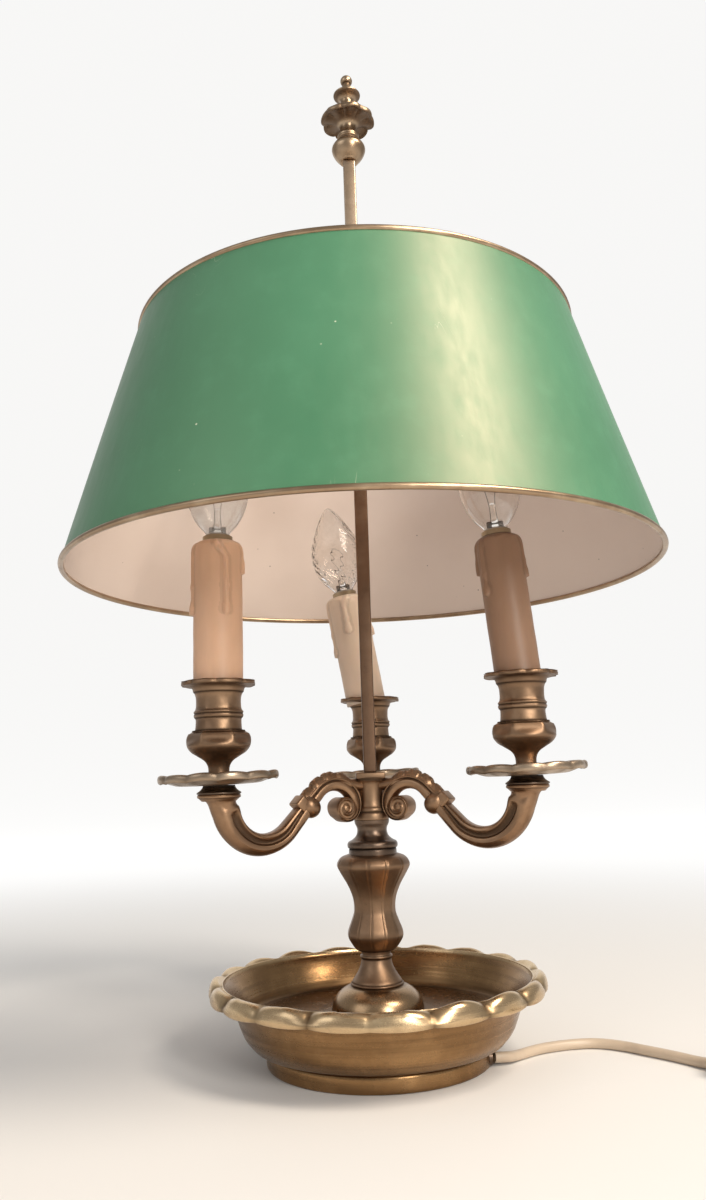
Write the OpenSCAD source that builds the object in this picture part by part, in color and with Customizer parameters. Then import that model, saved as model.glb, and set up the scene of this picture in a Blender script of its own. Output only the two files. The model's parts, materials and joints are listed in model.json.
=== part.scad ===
/* [Base] */
// Outer radius of the foot that stands on the table
foot_r = 63; // [60:0.5:65]
// Height of the foot band
foot_h = 8.5; // [7:0.5:10]
// Outer radius of the wall of the dish, just above the foot
wall_r = 71.5; // [70.5:0.5:72.5]
// Height of the dish floor above the table
floor_z = 24; // [22:1:25]
// Radius of the inner edge of the rolled lip
lip_in_r = 87; // [84:0.5:89]
// Radius of the outer edge of the rolled lip
lip_out_r = 94.5; // [92:0.5:98]
// Height of the crown of the lip
lip_z = 45; // [43:0.5:47]
// Number of lobes around the lip
lip_lobes = 19; // [15:1:23]

/* [Stem] */
// Radius of the widest part of the baluster
baluster_r = 21.2; // [19:0.2:22]
// Number of flutes on the baluster
baluster_flutes = 10; // [8:1:12]
// Height of the seat of the baluster
baluster_z = 58; // [58:0.5:59]
// Height of the underside of the hub
hub_z = 130.6; // [130.6:0.1:131]
// Height of the top of the hub
hub_top_z = 157.8; // [157.4:0.1:158.4]
// Side of the square rod
rod_w = 8; // [7:0.5:9]
// Height of the shoulder at the top of the square rod
rod_top_z = 558; // [540:1:562]

/* [Arms] */
// Radius of the circle of the three candles
arm_reach = 96; // [94:0.5:98]
// Radius of the arm tube at the low bend
arm_tube_r = 6.2; // [5.6:0.1:6.6]
// Radius of the arm tube at the high bend
arm_top_tube_r = 5.3; // [5:0.1:5.6]
// Radius of the low bend along the middle of the tube
low_bend_r = 22.2; // [21.5:0.1:23]
// Radius of the high bend along the middle of the tube
high_bend_r = 14.7; // [14:0.1:15.2]
// Directions of the left, right and back arm
arm_left_az = 210; // [200:1:220]
// Direction of the right arm
arm_right_az = 330; // [320:1:340]
// Direction of the back arm
arm_back_az = 87; // [80:1:100]

/* [Candles] */
// Radius of the scalloped drip pan
pan_r = 32.6; // [30:0.5:34]
// Number of lobes around a drip pan
pan_lobes = 12; // [8:1:16]
// Height of the flange on which the candle stands
flange_z = 209; // [208:0.5:210]
// Radius of that flange
flange_r = 20.2; // [18:0.2:22]
// Radius of the left and back candle sleeve
sleeve_r = 13.6; // [12.8:0.1:13.8]
// Radius of the right candle sleeve
slim_sleeve_r = 12.8; // [12.6:0.1:13.8]
// Length of the left and right candle sleeve
sleeve_l = 79; // [77:0.5:85]
// Length of the back candle sleeve
back_sleeve_l = 74.5; // [72:0.5:85]
// Lean of the left candle from upright
lean_left = 0; // [0:1:3]
// Lean of the right candle from upright
lean_right = 5; // [0:1:6]
// Lean of the back candle from upright
lean_back = 9.5; // [0:0.5:10]
// Radius of a bulb
bulb_r = 17.5; // [16:0.5:18]
// Length of the glass of the left and right bulb
bulb_glass_l = 73; // [60:0.5:75]
// Length of the glass of the back bulb
back_glass_l = 62.5; // [55:0.5:70]

/* [Shade] */
// Radius of the lower rim of the shade
shade_low_r = 178.8; // [170:0.5:185]
// Radius of the upper rim of the shade
shade_top_r = 136.1; // [130:0.5:145]
// Height of the lower rim
shade_low_z = 276.2; // [264:0.5:282]
// Height of the upper rim
shade_top_z = 428.5; // [422:0.5:434]
// Thickness of the sheet metal
shade_t = 0.7; // [0.5:0.1:1.2]
// Radius of the rolled beads on both rims
bead_r = 1.7; // [1.4:0.1:2.2]

/* [Mains lead] */
// Width of the lead
cord_d = 5.5; // [5:0.5:6]
// Radius of the coil at the middle of its turns
coil_r = 33; // [27.5:0.5:33]
// Centre of the coil, to the right
coil_x = 268; // [260:1:275]
// Centre of the coil, towards the front
coil_y = -86; // [-90:1:-80]
// Turns side by side in the coil
coil_wide = 4; // [3:1:5]
// Turns on top of each other in the coil
coil_high = 2; // [2:1:3]

/* [Hidden] */
$fn = 64;
eps = 0.01;
fit_gap = 0.05;

brass = "#a8843f";
bright_brass = "#c9a455";
dark_brass = "#6f5a38";
steel = "#9a9a9a";
wax = "#e6d3ac";
green = "#2f8a58";
white_lead = "#e8e2d2";
black_resin = "#2b2622";

// A smooth run through control points, four steps to each span
steps = 4;
function knot(p, i) = p[min(max(i, 0), len(p) - 1)];
function bend(a, b, c, d, t) =
    0.5 * (2 * b + (c - a) * t + (2 * a - 5 * b + 4 * c - d) * t * t
    + (3 * b - a - 3 * c + d) * t * t * t);
function smooth(p) = [
    for (i = [0 : len(p) - 2], s = [0 : steps - 1])
        bend(knot(p, i - 1), knot(p, i), knot(p, i + 1), knot(p, i + 2), s / steps),
    p[len(p) - 1]];

// A turned solid: its outline [radius, height] runs upwards, with a bore along its axis
module turned(outline, bore) {
    top = outline[len(outline) - 1][1];
    foot = outline[0][1];
    rotate_extrude($fn = 96)
        polygon(concat([[bore, foot]], outline, [[bore, top]]));
}

module tube(r_out, r_in, z0, z1) {
    translate([0, 0, z0])
        difference() {
            cylinder(r = r_out, h = z1 - z0);
            translate([0, 0, -1])
                cylinder(r = r_in, h = z1 - z0 + 2);
        }
}

// Round notches that cut a rim into lobes
module rim_notches(rim_r, count, depth, z0, z1) {
    notch_r = rim_r * sin(90 / count) * 0.5;
    for (i = [0 : count - 1])
        rotate(i * 360 / count)
            translate([rim_r + notch_r - depth, 0, z0])
                cylinder(r = notch_r, h = z1 - z0, $fn = 24);
}

module hex_nut(across, bore, h) {
    difference() {
        cylinder(d = across / cos(30), h = h, $fn = 6);
        translate([0, 0, -1])
            cylinder(r = bore, h = h + 2);
    }
}

// ---- base ----
wall_t = 2.2;
thread_r = 5;
thread_bore_r = 5.1;
cord_r = cord_d / 2;
exit_az = -20;
exit_z = 5;
bush_r = 3.9;

module cord_hole(r, reach_in, reach_out) {
    rotate(exit_az)
        translate([foot_r - reach_in, 0, exit_z])
            rotate([0, 90, 0])
                cylinder(r = r, h = reach_in + reach_out);
}

dish_outside = smooth([[foot_r - 1.2, 0], [foot_r, 1.4], [foot_r, foot_h - 1.2],
    [foot_r - 0.8, foot_h + 0.6], [foot_r + 2.6, foot_h + 2.1], [wall_r - 1.7, foot_h + 2.8],
    [wall_r + 0.9, foot_h + 5.1], [wall_r + 3.7, foot_h + 8.5], [wall_r + 5.8, floor_z - 2.5],
    [wall_r + 7.9, floor_z + 3], [lip_in_r - 4.6, lip_z - 11.2], [lip_in_r - 1, lip_z - 6]]);
lip_over = smooth([[lip_in_r - 1, lip_z - 6], [lip_in_r + 2, lip_z - 3.2],
    [lip_out_r - 3, lip_z - 4.4], [lip_out_r - 1.4, lip_z - 8.8], [lip_out_r - 0.4, lip_z - 9],
    [lip_out_r, lip_z - 6], [lip_out_r - 0.8, lip_z - 2.6], [lip_out_r - 3, lip_z - 0.4],
    [lip_in_r + 2, lip_z], [lip_in_r, lip_z - 1]]);
dish_inside = smooth([[lip_in_r - 0.8, lip_z - 2.6], [lip_in_r - 3.2, lip_z - 5.6],
    [lip_in_r - 6.6, lip_z - 11.2], [wall_r + 6, floor_z + 4.4], [wall_r + 4.2, floor_z + 1],
    [wall_r + 0.8, floor_z]]);
under_r = foot_r - wall_t;
// The hollow below the floor follows the wall, one thickness inside it
dish_under = [[0, -1], [under_r, -1], [under_r, foot_h + 2.2], [wall_r - 3.3, foot_h + 4.2],
    [wall_r - 1, foot_h + 6.5], [wall_r + 3, floor_z - wall_t], [0, floor_z - wall_t]];

module base_dish() {
    color(bright_brass)
        difference() {
            rotate_extrude($fn = 120)
                difference() {
                    polygon(concat([[thread_bore_r, 0]], dish_outside, lip_over, dish_inside,
                        [[thread_bore_r, floor_z]]));
                    polygon(dish_under);
                }
            rim_notches(lip_out_r, lip_lobes, 1.6, lip_z - 12, lip_z + 2);
            cord_hole(bush_r, 6, 6);
        }
}

// The cover has a notch for the bush of the lead
module base_cover() {
    color(dark_brass)
        translate([0, 0, 0.8])
            difference() {
                cylinder(r = under_r - fit_gap, h = 1.4, $fn = 96);
                rotate(exit_az)
                    translate([foot_r - 6, -6, -1])
                        cube([12, 12, 4]);
            }
}

module base_boss() {
    color(bright_brass)
        turned(smooth([[24.4, floor_z], [24.9, floor_z + 2], [24.2, floor_z + 4.4],
            [21.6, floor_z + 8], [17.6, floor_z + 11.4], [15.2, floor_z + 12.6],
            [15.4, floor_z + 14.6], [14.4, floor_z + 16]]), thread_bore_r);
}

module stem_ring() {
    color(brass)
        turned(smooth([[13, floor_z + 16], [14, floor_z + 18.4], [13.6, floor_z + 20],
            [10, floor_z + 22.4], [8.4, floor_z + 24.8], [8.1, floor_z + 28],
            [9.6, floor_z + 29.6], [9.8, floor_z + 31.6], [8.8, baluster_z]]), thread_bore_r);
}

baluster_line = [[9.8, baluster_z], [12.8, baluster_z + 2.6], [15.7, baluster_z + 7],
    [15.7, baluster_z + 11], [13.4, baluster_z + 16.6], [11.6, baluster_z + 22],
    [12.4, baluster_z + 29], [15.3, baluster_z + 36], [19.3, baluster_z + 42.8],
    [baluster_r, baluster_z + 47], [baluster_r - 1.8, baluster_z + 50.6],
    [14.8, baluster_z + 53.4]];
flute_az = -92;
flute_depth = 1;
flute_w = 1.6;
flute_core = [for (p = baluster_line) [p[0] - flute_depth, p[1]]];

// Flutes are upright slots that end on a slightly smaller core
module baluster() {
    color(brass)
        union() {
            turned(smooth(flute_core), thread_bore_r);
            difference() {
                turned(smooth(baluster_line), thread_bore_r);
                for (i = [0 : baluster_flutes - 1])
                    rotate(flute_az + i * 360 / baluster_flutes)
                        translate([7, -flute_w / 2, baluster_z + 4])
                            cube([20, flute_w, 47]);
            }
        }
}

collar_z = baluster_z + 53.4;
module stem_collar() {
    color(dark_brass)
        turned(smooth([[13.9, collar_z], [13.7, collar_z + 1.6], [14.3, collar_z + 3.4],
            [14.1, collar_z + 5.2], [12.4, collar_z + 7], [9, collar_z + 9.4],
            [8.5, collar_z + 12], [9.4, collar_z + 16.4], [10, hub_z]]), thread_bore_r);
}

tie_top_z = hub_z + 6;
tie_neck_r = 4.2;
module tie_rod() {
    color(steel)
        union() {
            tube(thread_r, 2.8, floor_z - 9, hub_z + eps);
            tube(tie_neck_r, 2.8, hub_z, tie_top_z);
        }
}

module tie_nut() {
    color(steel)
        union() {
            translate([0, 0, floor_z - wall_t - 6.5])
                hex_nut(17, thread_bore_r, 5);
            tube(12, thread_bore_r, floor_z - wall_t - 1.5, floor_z - wall_t);
        }
}

// ---- hub and arms ----
plinth_w = 17;
tenon_r = 3.5;
wire_r = 1.5;
duct_r = 2.8;
duct_z = hub_z + 9.4;
arm_az = [arm_left_az, arm_right_az, arm_back_az];
hub_r = 7.8;
hub_line = smooth([[9.9, hub_z], [9.4, hub_z + 1.6], [8.3, hub_z + 3], [hub_r, hub_z + 5],
    [hub_r, hub_z + 8], [hub_r, hub_z + 12.4], [8, hub_z + 17], [8.8, hub_z + 20],
    [10.2, hub_top_z - 4.2], [10.4, hub_top_z - 3.4]]);

module arm_hub() {
    color(brass)
        difference() {
            union() {
                turned(hub_line, 0);
                translate([-plinth_w / 2, -plinth_w / 2, hub_top_z - 3.6])
                    cube([plinth_w, plinth_w, 3.6]);
            }
            translate([0, 0, hub_z - 1])
                cylinder(r = tie_neck_r + 0.1, h = tie_top_z - hub_z + 1);
            translate([0, 0, hub_z])
                cylinder(r = tenon_r, h = 40);
            for (a = arm_az)
                rotate(a)
                    translate([0, 0, duct_z])
                        rotate([0, 90, 0])
                            cylinder(r = duct_r, h = 20);
        }
}

// The arm lies in its own upright plane: x outwards, y up
high_c = [25.5, hub_z + 7.4];
low_c = [arm_reach - 25.5, hub_z + 12.4];
span = low_c - high_c;
// The straight between the two bends touches both circles
cross_a = atan2(span[1], span[0]) - asin((high_bend_r + low_bend_r) / norm(span));
high_end = high_c + high_bend_r * [cos(cross_a + 90), sin(cross_a + 90)];
low_start = low_c - low_bend_r * [cos(cross_a + 90), sin(cross_a + 90)];
run = norm(low_start - high_end);
low_turn = 360 - 18 - (cross_a + 270);
low_end = low_c + low_bend_r * [cos(-18), sin(-18)];
tip_z = hub_z + 18;

// Cross section of the arm: round, with a channel along each side
module arm_section(r) {
    difference() {
        circle(r = r);
        for (side = [-1, 1])
            translate([0, side * (r + 1.4)])
                circle(r = 2.6, $fn = 24);
    }
}

module arc_run(centre, radius, from, turn) {
    translate([centre[0], centre[1], 0])
        rotate(from)
            rotate_extrude(angle = turn, $fn = 96)
                translate([radius, 0])
                    children();
}

lap = 0.2;
module straight_run() {
    translate([high_end[0], high_end[1], 0])
        rotate(cross_a)
            translate([-lap, 0, 0])
                rotate([90, 0, 90])
                    linear_extrude(run + 2 * lap)
                        children();
}

module in_arm_plane(az) {
    rotate(az)
        rotate([90, 0, 0])
            children();
}

module arm_body() {
    in_arm_plane(0)
        union() {
            arc_run(high_c, high_bend_r, cross_a + 90, 82 - cross_a)
                arm_section(arm_top_tube_r);
            straight_run()
                arm_section(arm_tube_r - 0.4);
            arc_run(low_c, low_bend_r, cross_a + 270, low_turn)
                arm_section(arm_tube_r);
            // the cuff with the end of the leaf
            translate([high_end[0], high_end[1], 0])
                rotate(cross_a)
                    translate([run * 0.3, 0, 0])
                        rotate([0, 90, 0])
                            union() {
                                cylinder(r1 = 6.4, r2 = 7.8, h = 7);
                                translate([0, 0, 7])
                                    cylinder(r1 = 7.8, r2 = 6.2, h = 4);
                            }
            // the seat against the hub
            translate([hub_r - 2, duct_z, 0])
                rotate([0, 90, 0])
                    cylinder(r = 4, h = 8);
            // the scroll
            translate([21.2, hub_z + 6.1, -5.4])
                cylinder(r = 6.8, h = 10.8);
            translate([15.1, hub_z + 5.8, -5.2])
                cylinder(r = 6.4, h = 10.4);
            // the swelling below the candle
            translate([low_end[0], low_end[1], 0])
                rotate(74)
                    rotate([0, 90, 0])
                        cylinder(r1 = arm_tube_r, r2 = 8.4, h = 10);
        }
    translate([arm_reach, 0, 0])
        turned(smooth([[7.6, tip_z - 9], [8.6, tip_z - 6], [10, tip_z - 2.8],
            [11, tip_z - 1.2], [11, tip_z - 0.4], [10, tip_z]]), thread_bore_r);
}

// The hole for the wires follows the middle of the arm
module arm_duct(r) {
    in_arm_plane(0)
        union() {
            arc_run(high_c, high_bend_r, cross_a + 90, 82 - cross_a)
                circle(r = r, $fn = 24);
            straight_run()
                circle(r = r - 0.15, $fn = 24);
            arc_run(low_c, low_bend_r, cross_a + 270, low_turn)
                circle(r = r, $fn = 24);
            translate([low_end[0], low_end[1], 0])
                rotate(76)
                    rotate([0, 90, 0])
                        translate([0, 0, -lap])
                            cylinder(r = r - 0.15, h = 8, $fn = 24);
        }
    translate([0, 0, duct_z])
        rotate([0, 90, 0])
            cylinder(r = r + 0.15, h = 12.6, $fn = 24);
}

module arm(az) {
    color(brass)
        rotate(az)
            difference() {
                arm_body();
                arm_duct(duct_r);
                translate([arm_reach, 0, tip_z - 10])
                    cylinder(r = thread_bore_r, h = 12);
                turned(hub_line, 0);
            }
}

// ---- candles ----
cup_floor_z = tip_z + 6;
washer_z = tip_z;
lean_az = [180, 170, 180];
leans = [lean_left, lean_right, lean_back];
glass_l = [bulb_glass_l, bulb_glass_l, back_glass_l];
sleeve_rs = [sleeve_r, slim_sleeve_r, sleeve_r];
sleeve_ls = [sleeve_l, sleeve_l, back_sleeve_l];
// Inside the cup the tube bends, this far below the flange
bend_depth = 17;
bend_z = flange_z - bend_depth;

module at_candle(k) {
    rotate(arm_az[k])
        translate([arm_reach, 0, 0])
            rotate(-arm_az[k])
                children();
}

// Places a piece on the leaning axis, measured from the level of the flange
module leaning(k) {
    at_candle(k)
        translate([0, 0, bend_z])
            rotate(lean_az[k])
                rotate([0, leans[k], 0])
                    rotate(-lean_az[k])
                        translate([0, 0, bend_depth])
                            children();
}

module pan_washers() {
    color(dark_brass)
        for (k = [0 : 2])
            at_candle(k)
                union() {
                    tube(12.2, thread_bore_r, washer_z, washer_z + 2.2);
                    tube(8.6, thread_bore_r, washer_z + 2.2 - eps, washer_z + 4.8);
                }
}

pan_z = washer_z + 4.8;
module drip_pan(k) {
    color(bright_brass)
        at_candle(k)
            difference() {
                rotate_extrude($fn = 96)
                    polygon(concat([[thread_bore_r, pan_z]],
                        smooth([[12, pan_z], [21, pan_z + 0.6], [pan_r - 5.6, pan_z + 3.2],
                            [pan_r - 3.6, pan_z + 5], [pan_r - 2.2, pan_z + 4.4],
                            [pan_r - 1.2, pan_z + 2.2], [pan_r - 0.6, pan_z + 1],
                            [pan_r, pan_z + 1.2], [pan_r - 0.4, pan_z + 4],
                            [pan_r - 1.8, pan_z + 6.4], [pan_r - 3.6, pan_z + 6.8],
                            [pan_r - 6.2, pan_z + 5], [21, pan_z + 2], [12, pan_z + 1.2]]),
                        [[thread_bore_r, pan_z + 1.2]]));
                rim_notches(pan_r, pan_lobes, 1.4, pan_z - 1, pan_z + 8);
            }
}

cup_outside = [[6.4, cup_floor_z], [5.6, cup_floor_z + 3], [5.7, cup_floor_z + 8],
    [8, cup_floor_z + 12.5], [13.6, cup_floor_z + 16.6], [16.8, cup_floor_z + 21.4],
    [15.6, cup_floor_z + 25.4], [13.6, cup_floor_z + 26.6], [12.5, cup_floor_z + 27.6],
    [12.4, flange_z - 20.5], [13.3, flange_z - 19], [13.3, flange_z - 15.6],
    [12.3, flange_z - 14.4], [12.2, flange_z - 10.6], [13.2, flange_z - 6],
    [14.2, flange_z - 3.4], [18.6, flange_z - 2.2]];

module candle_cup(k) {
    color(brass)
        at_candle(k)
            difference() {
                union() {
                    turned(smooth(cup_outside), 0);
                    translate([0, 0, flange_z - 2.2])
                        cylinder(r = flange_r, h = 2.2);
                }
                translate([0, 0, cup_floor_z - 1])
                    cylinder(r = thread_bore_r, h = 60);
                translate([0, 0, cup_floor_z + 18.5])
                    cylinder(r = 10.8, h = 60);
                rim_notches(flange_r, 8, 0.9, flange_z - 3, flange_z + 1);
            }
}

// A rod about the axis of a cup that bends to the lean of its candle
bend_r = 24;
module bent_rod(k, r, z0, top) {
    reach = bend_r * tan(leans[k] / 2);
    at_candle(k) {
        translate([0, 0, z0])
            cylinder(r = r, h = bend_z - reach - z0 + lap);
        if (leans[k] > 0)
            translate([0, 0, bend_z - reach])
                rotate(lean_az[k])
                    translate([bend_r, 0, 0])
                        rotate([-90, 0, 0])
                            rotate(180)
                                rotate_extrude(angle = leans[k])
                                    translate([bend_r, 0])
                                        circle(r = r - 0.05, $fn = 32);
    }
    leaning(k)
        translate([0, 0, reach - lap - bend_depth])
            cylinder(r = r, h = top - reach + lap + bend_depth);
}

nipple_bore_r = 3.6;
module candle_nipples() {
    color(steel)
        for (k = [0 : 2])
            difference() {
                bent_rod(k, thread_r, tip_z - 4, 9);
                bent_rod(k, nipple_bore_r, tip_z - 5, 10);
            }
}

module nipple_nuts() {
    color(steel)
        for (k = [0 : 2])
            at_candle(k)
                translate([0, 0, cup_floor_z + 18.5])
                    hex_nut(16, thread_bore_r, 4);
}

holder_r = 11.3;
shell_in_r = 7;
shell_out_r = 8.4;
socket_l = 25;
function socket_z(k) = sleeve_ls[k] - socket_l;
function glass_z(k) = sleeve_ls[k] + 3.5;
module lampholder(k) {
    color(black_resin)
        leaning(k)
            difference() {
                union() {
                    translate([0, 0, 3])
                        cylinder(r = holder_r, h = socket_z(k) + 17);
                    translate([0, 0, socket_z(k)])
                        cylinder(r = 9, h = socket_l - 0.4);
                }
                translate([0, 0, 2])
                    cylinder(r = thread_bore_r, h = 8);
                translate([0, 0, 9.9])
                    cylinder(r = 8.6, h = 34);
                translate([0, 0, socket_z(k) - 3])
                    cylinder(r = shell_out_r + 0.1, h = 60);
            }
}

module holder_shells() {
    color(bright_brass)
        for (k = [0 : 2])
            leaning(k)
                union() {
                    tube(shell_out_r, shell_in_r, socket_z(k) - 2.8, sleeve_ls[k] + 2.4);
                    tube(shell_out_r, 4.6, socket_z(k) - 2.8, socket_z(k) - 2.2);
                }
}

module holder_contacts() {
    color(bright_brass)
        for (k = [0 : 2])
            leaning(k)
                translate([0, 0, socket_z(k) - 3])
                    cylinder(r = 3, h = 2.5);
}

// The foot of a leaning sleeve is cut level, so that it stands flat on the flange
module candle_sleeve(k) {
    r = sleeve_rs[k];
    l = sleeve_ls[k];
    color(wax)
        difference() {
            leaning(k)
                difference() {
                    rotate_extrude($fn = 96)
                        polygon(concat([[0, -4]], smooth([[r, -4], [r, 20], [r, l - 5],
                            [r - 0.8, l - 2], [r - 3.4, l]]), [[0, l]]));
                    translate([0, 0, -5])
                        cylinder(r = holder_r + 0.3, h = l + 1.2);
                    cylinder(r = 9.1, h = l + 5);
                }
            at_candle(k)
                translate([0, 0, flange_z - 20])
                    cylinder(r = 40, h = 20 + eps);
        }
}

cap_r = shell_in_r - fit_gap;
module bulb_cap(k) {
    color(steel)
        leaning(k)
            difference() {
                union() {
                    translate([0, 0, socket_z(k)])
                        cylinder(r = cap_r, h = glass_z(k) - socket_z(k));
                    translate([0, 0, socket_z(k) - 0.4])
                        cylinder(r = 2.6, h = 2);
                }
                translate([0, 0, socket_z(k) + 1.6])
                    cylinder(r = cap_r - 0.5, h = 60);
            }
}

function glass_line(l, r) = smooth([[cap_r - 0.6, 0], [7.6, 2.2], [11.4, 6.5],
    [15.2, 13.5], [r, 23], [r * 0.95, 34], [r * 0.74, l * 0.7], [r * 0.36, l * 0.9],
    [1.6, l]]);
module bulb_glass(k) {
    outside = glass_line(glass_l[k], bulb_r);
    inside = [for (i = [0 : len(outside) - 3]) [outside[i][0] - 0.7, outside[i][1]]];
    last = inside[len(inside) - 1];
    color([0.9, 0.95, 0.98, 0.4])
        leaning(k)
            translate([0, 0, glass_z(k)])
                rotate_extrude($fn = 72)
                    difference() {
                        polygon(concat([[0, 0]], outside, [[0, glass_l[k]]]));
                        polygon(concat([[0, -1], [inside[0][0], -1]], inside,
                            [[0, last[1]]]));
                    }
}

module bulb_filament(k) {
    color(steel)
        leaning(k)
            translate([0, 0, glass_z(k)])
                union() {
                    // the glass stem that closes the neck and carries the wires
                    translate([0, 0, -6])
                        cylinder(r1 = 5.6, r2 = 2.2, h = 16);
                    for (side = [-1, 1])
                        translate([side * 2, 0, 8])
                            rotate([0, side * 22, 0])
                                cylinder(r = 0.35, h = 20, $fn = 16);
                    translate([-9.4, 0, 26.4])
                        rotate([0, 90, 0])
                            cylinder(r = 0.5, h = 18.8, $fn = 16);
                }
}

// ---- rod, finial, shade ----
stud_r = 2.5;
module square_rod() {
    color(dark_brass)
        union() {
            translate([-rod_w / 2, -rod_w / 2, hub_top_z])
                cube([rod_w, rod_w, rod_top_z - hub_top_z]);
            translate([0, 0, hub_top_z - 9])
                cylinder(r = tenon_r, h = 10);
            translate([0, 0, rod_top_z - 1])
                cylinder(r = stud_r, h = 21);
        }
}

module finial_ball() {
    color(brass)
        turned(smooth([[5.7, rod_top_z + 0.1], [8.6, rod_top_z + 3.6],
            [10.4, rod_top_z + 9.4], [9, rod_top_z + 14], [6.7, rod_top_z + 16.4],
            [7.2, rod_top_z + 18]]), stud_r + fit_gap);
}

crown_z = rod_top_z + 18;
module finial_crown() {
    color(brass)
        difference() {
            turned(smooth([[8.4, crown_z], [7.8, crown_z + 2.4], [9.6, crown_z + 6.4],
                [14, crown_z + 10.4], [17.6, crown_z + 12.8], [16.6, crown_z + 15.2],
                [12.6, crown_z + 20], [11.6, crown_z + 23.4], [7.6, crown_z + 27],
                [5.4, crown_z + 30.2], [6.4, crown_z + 32.6], [8.8, crown_z + 34.6],
                [7.4, crown_z + 37], [4.2, crown_z + 39.6], [2.4, crown_z + 42],
                [3.4, crown_z + 44.8], [2.8, crown_z + 46.8], [1.4, crown_z + 48.4]]), 0);
            rim_notches(17.6, 8, 2.4, crown_z + 8, crown_z + 18);
            translate([0, 0, crown_z - 1])
                cylinder(r = stud_r + fit_gap, h = 4);
        }
}

rim_low = [shade_low_r - bead_r, shade_low_z + bead_r];
rim_top = [shade_top_r - bead_r, shade_top_z - bead_r];
slope = (rim_top[0] - rim_low[0]) / (rim_top[1] - rim_low[1]);
function skin_r(z) = rim_low[0] + slope * (z - rim_low[1]);

module skin_section(grow) {
    half = shade_t / 2 + grow;
    polygon([[rim_low[0] - half, rim_low[1]], [rim_low[0] + half, rim_low[1]],
        [rim_top[0] + half, rim_top[1]], [rim_top[0] - half, rim_top[1]]]);
}

module shade_skin() {
    color(green)
        rotate_extrude($fn = 180)
            skin_section(0);
}

module shade_bead(place) {
    color(bright_brass)
        rotate_extrude($fn = 180)
            difference() {
                translate(place)
                    circle(r = bead_r, $fn = 24);
                skin_section(0);
            }
}

spider_z = shade_top_z - 10;
spider_t = 2;
collar_w = 17;
collar_low_z = spider_z - 20;
module shade_spider() {
    ring_r = skin_r(spider_z) - shade_t / 2;
    color(dark_brass)
        difference() {
            union() {
                rotate_extrude($fn = 180)
                    polygon([[ring_r - 8, spider_z], [ring_r - 0.04, spider_z],
                        [ring_r - 0.04 + slope * spider_t, spider_z + spider_t],
                        [ring_r - 8, spider_z + spider_t]]);
                for (a = arm_az)
                    rotate(a + 60)
                        translate([0, -5, spider_z])
                            cube([ring_r - 4, 10, spider_t]);
            }
            translate([-collar_w / 2, -collar_w / 2, spider_z - 1])
                cube([collar_w, collar_w, 4]);
        }
}

clamp_z = collar_low_z + 8;
clamp_r = 2.5;
slide_gap = 0.08;
module shade_collar() {
    color(brass)
        difference() {
            union() {
                translate([-collar_w / 2, -collar_w / 2, collar_low_z])
                    cube([collar_w, collar_w, spider_z + 8 - collar_low_z]);
                translate([collar_w / 2 - 1, 0, clamp_z])
                    rotate([0, 90, 0])
                        cylinder(r = 5, h = 4);
            }
            translate([-rod_w / 2 - slide_gap, -rod_w / 2 - slide_gap, collar_low_z - 1])
                cube([rod_w + 2 * slide_gap, rod_w + 2 * slide_gap, 60]);
            translate([0, 0, clamp_z])
                rotate([0, 90, 0])
                    cylinder(r = clamp_r + fit_gap, h = 30);
        }
}

module clamp_screw() {
    color(brass)
        translate([0, 0, clamp_z])
            rotate([0, 90, 0])
                union() {
                    translate([0, 0, rod_w / 2 + 0.3])
                        cylinder(r = clamp_r, h = 14);
                    translate([0, 0, 14])
                        cylinder(r = 5, h = 3);
                    translate([0, -1.5, 17 - eps])
                        difference() {
                            intersection() {
                                translate([-10, 0, 0])
                                    cube([20, 3, 13]);
                                rotate([-90, 0, 0])
                                    translate([0, -2, -1])
                                        cylinder(r = 11, h = 5);
                            }
                            translate([0, -1, 15.4])
                                rotate([-90, 0, 0])
                                    cylinder(r = 4.4, h = 5);
                        }
                }
}

// ---- inside the base ----
block_x = 32;
block_z = 2.2;
wires_z = 9.5;
module terminal_block() {
    color(white_lead)
        difference() {
            translate([block_x - 9, -12, block_z])
                cube([18, 24, 9]);
            for (side = [-1, 1])
                translate([block_x, side * 6, block_z + 1])
                    cylinder(r = 2, h = 12);
        }
}

module terminal_screws() {
    color(steel)
        for (side = [-1, 1])
            difference() {
                translate([block_x, side * 6, block_z + 1])
                    cylinder(r = 1.9, h = 7);
                translate([block_x - 2.5, side * 6 - 0.3, block_z + 7])
                    cube([5, 0.6, 2]);
            }
}

module cord_bush() {
    color(bright_brass)
        rotate(exit_az)
            translate([foot_r, 0, exit_z])
                rotate([0, 90, 0])
                    difference() {
                        union() {
                            translate([0, 0, -4])
                                cylinder(r = bush_r - 0.02, h = 4);
                            cylinder(r1 = 4.5, r2 = 3.6, h = 1.6);
                        }
                        translate([0, 0, -6])
                            cylinder(r = cord_r, h = 12);
                    }
}

module lamp_wires() {
    color(white_lead)
        union() {
            translate([0, 0, wires_z])
                cylinder(r = wire_r + 0.6, h = duct_z - wires_z + wire_r);
            translate([0, 0, wires_z])
                rotate([0, 90, 0])
                    cylinder(r = wire_r, h = block_x - 9);
            for (k = [0 : 2]) {
                rotate(arm_az[k])
                    arm_duct(wire_r);
                bent_rod(k, wire_r, tip_z - 6, 16);
            }
        }
}

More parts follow.
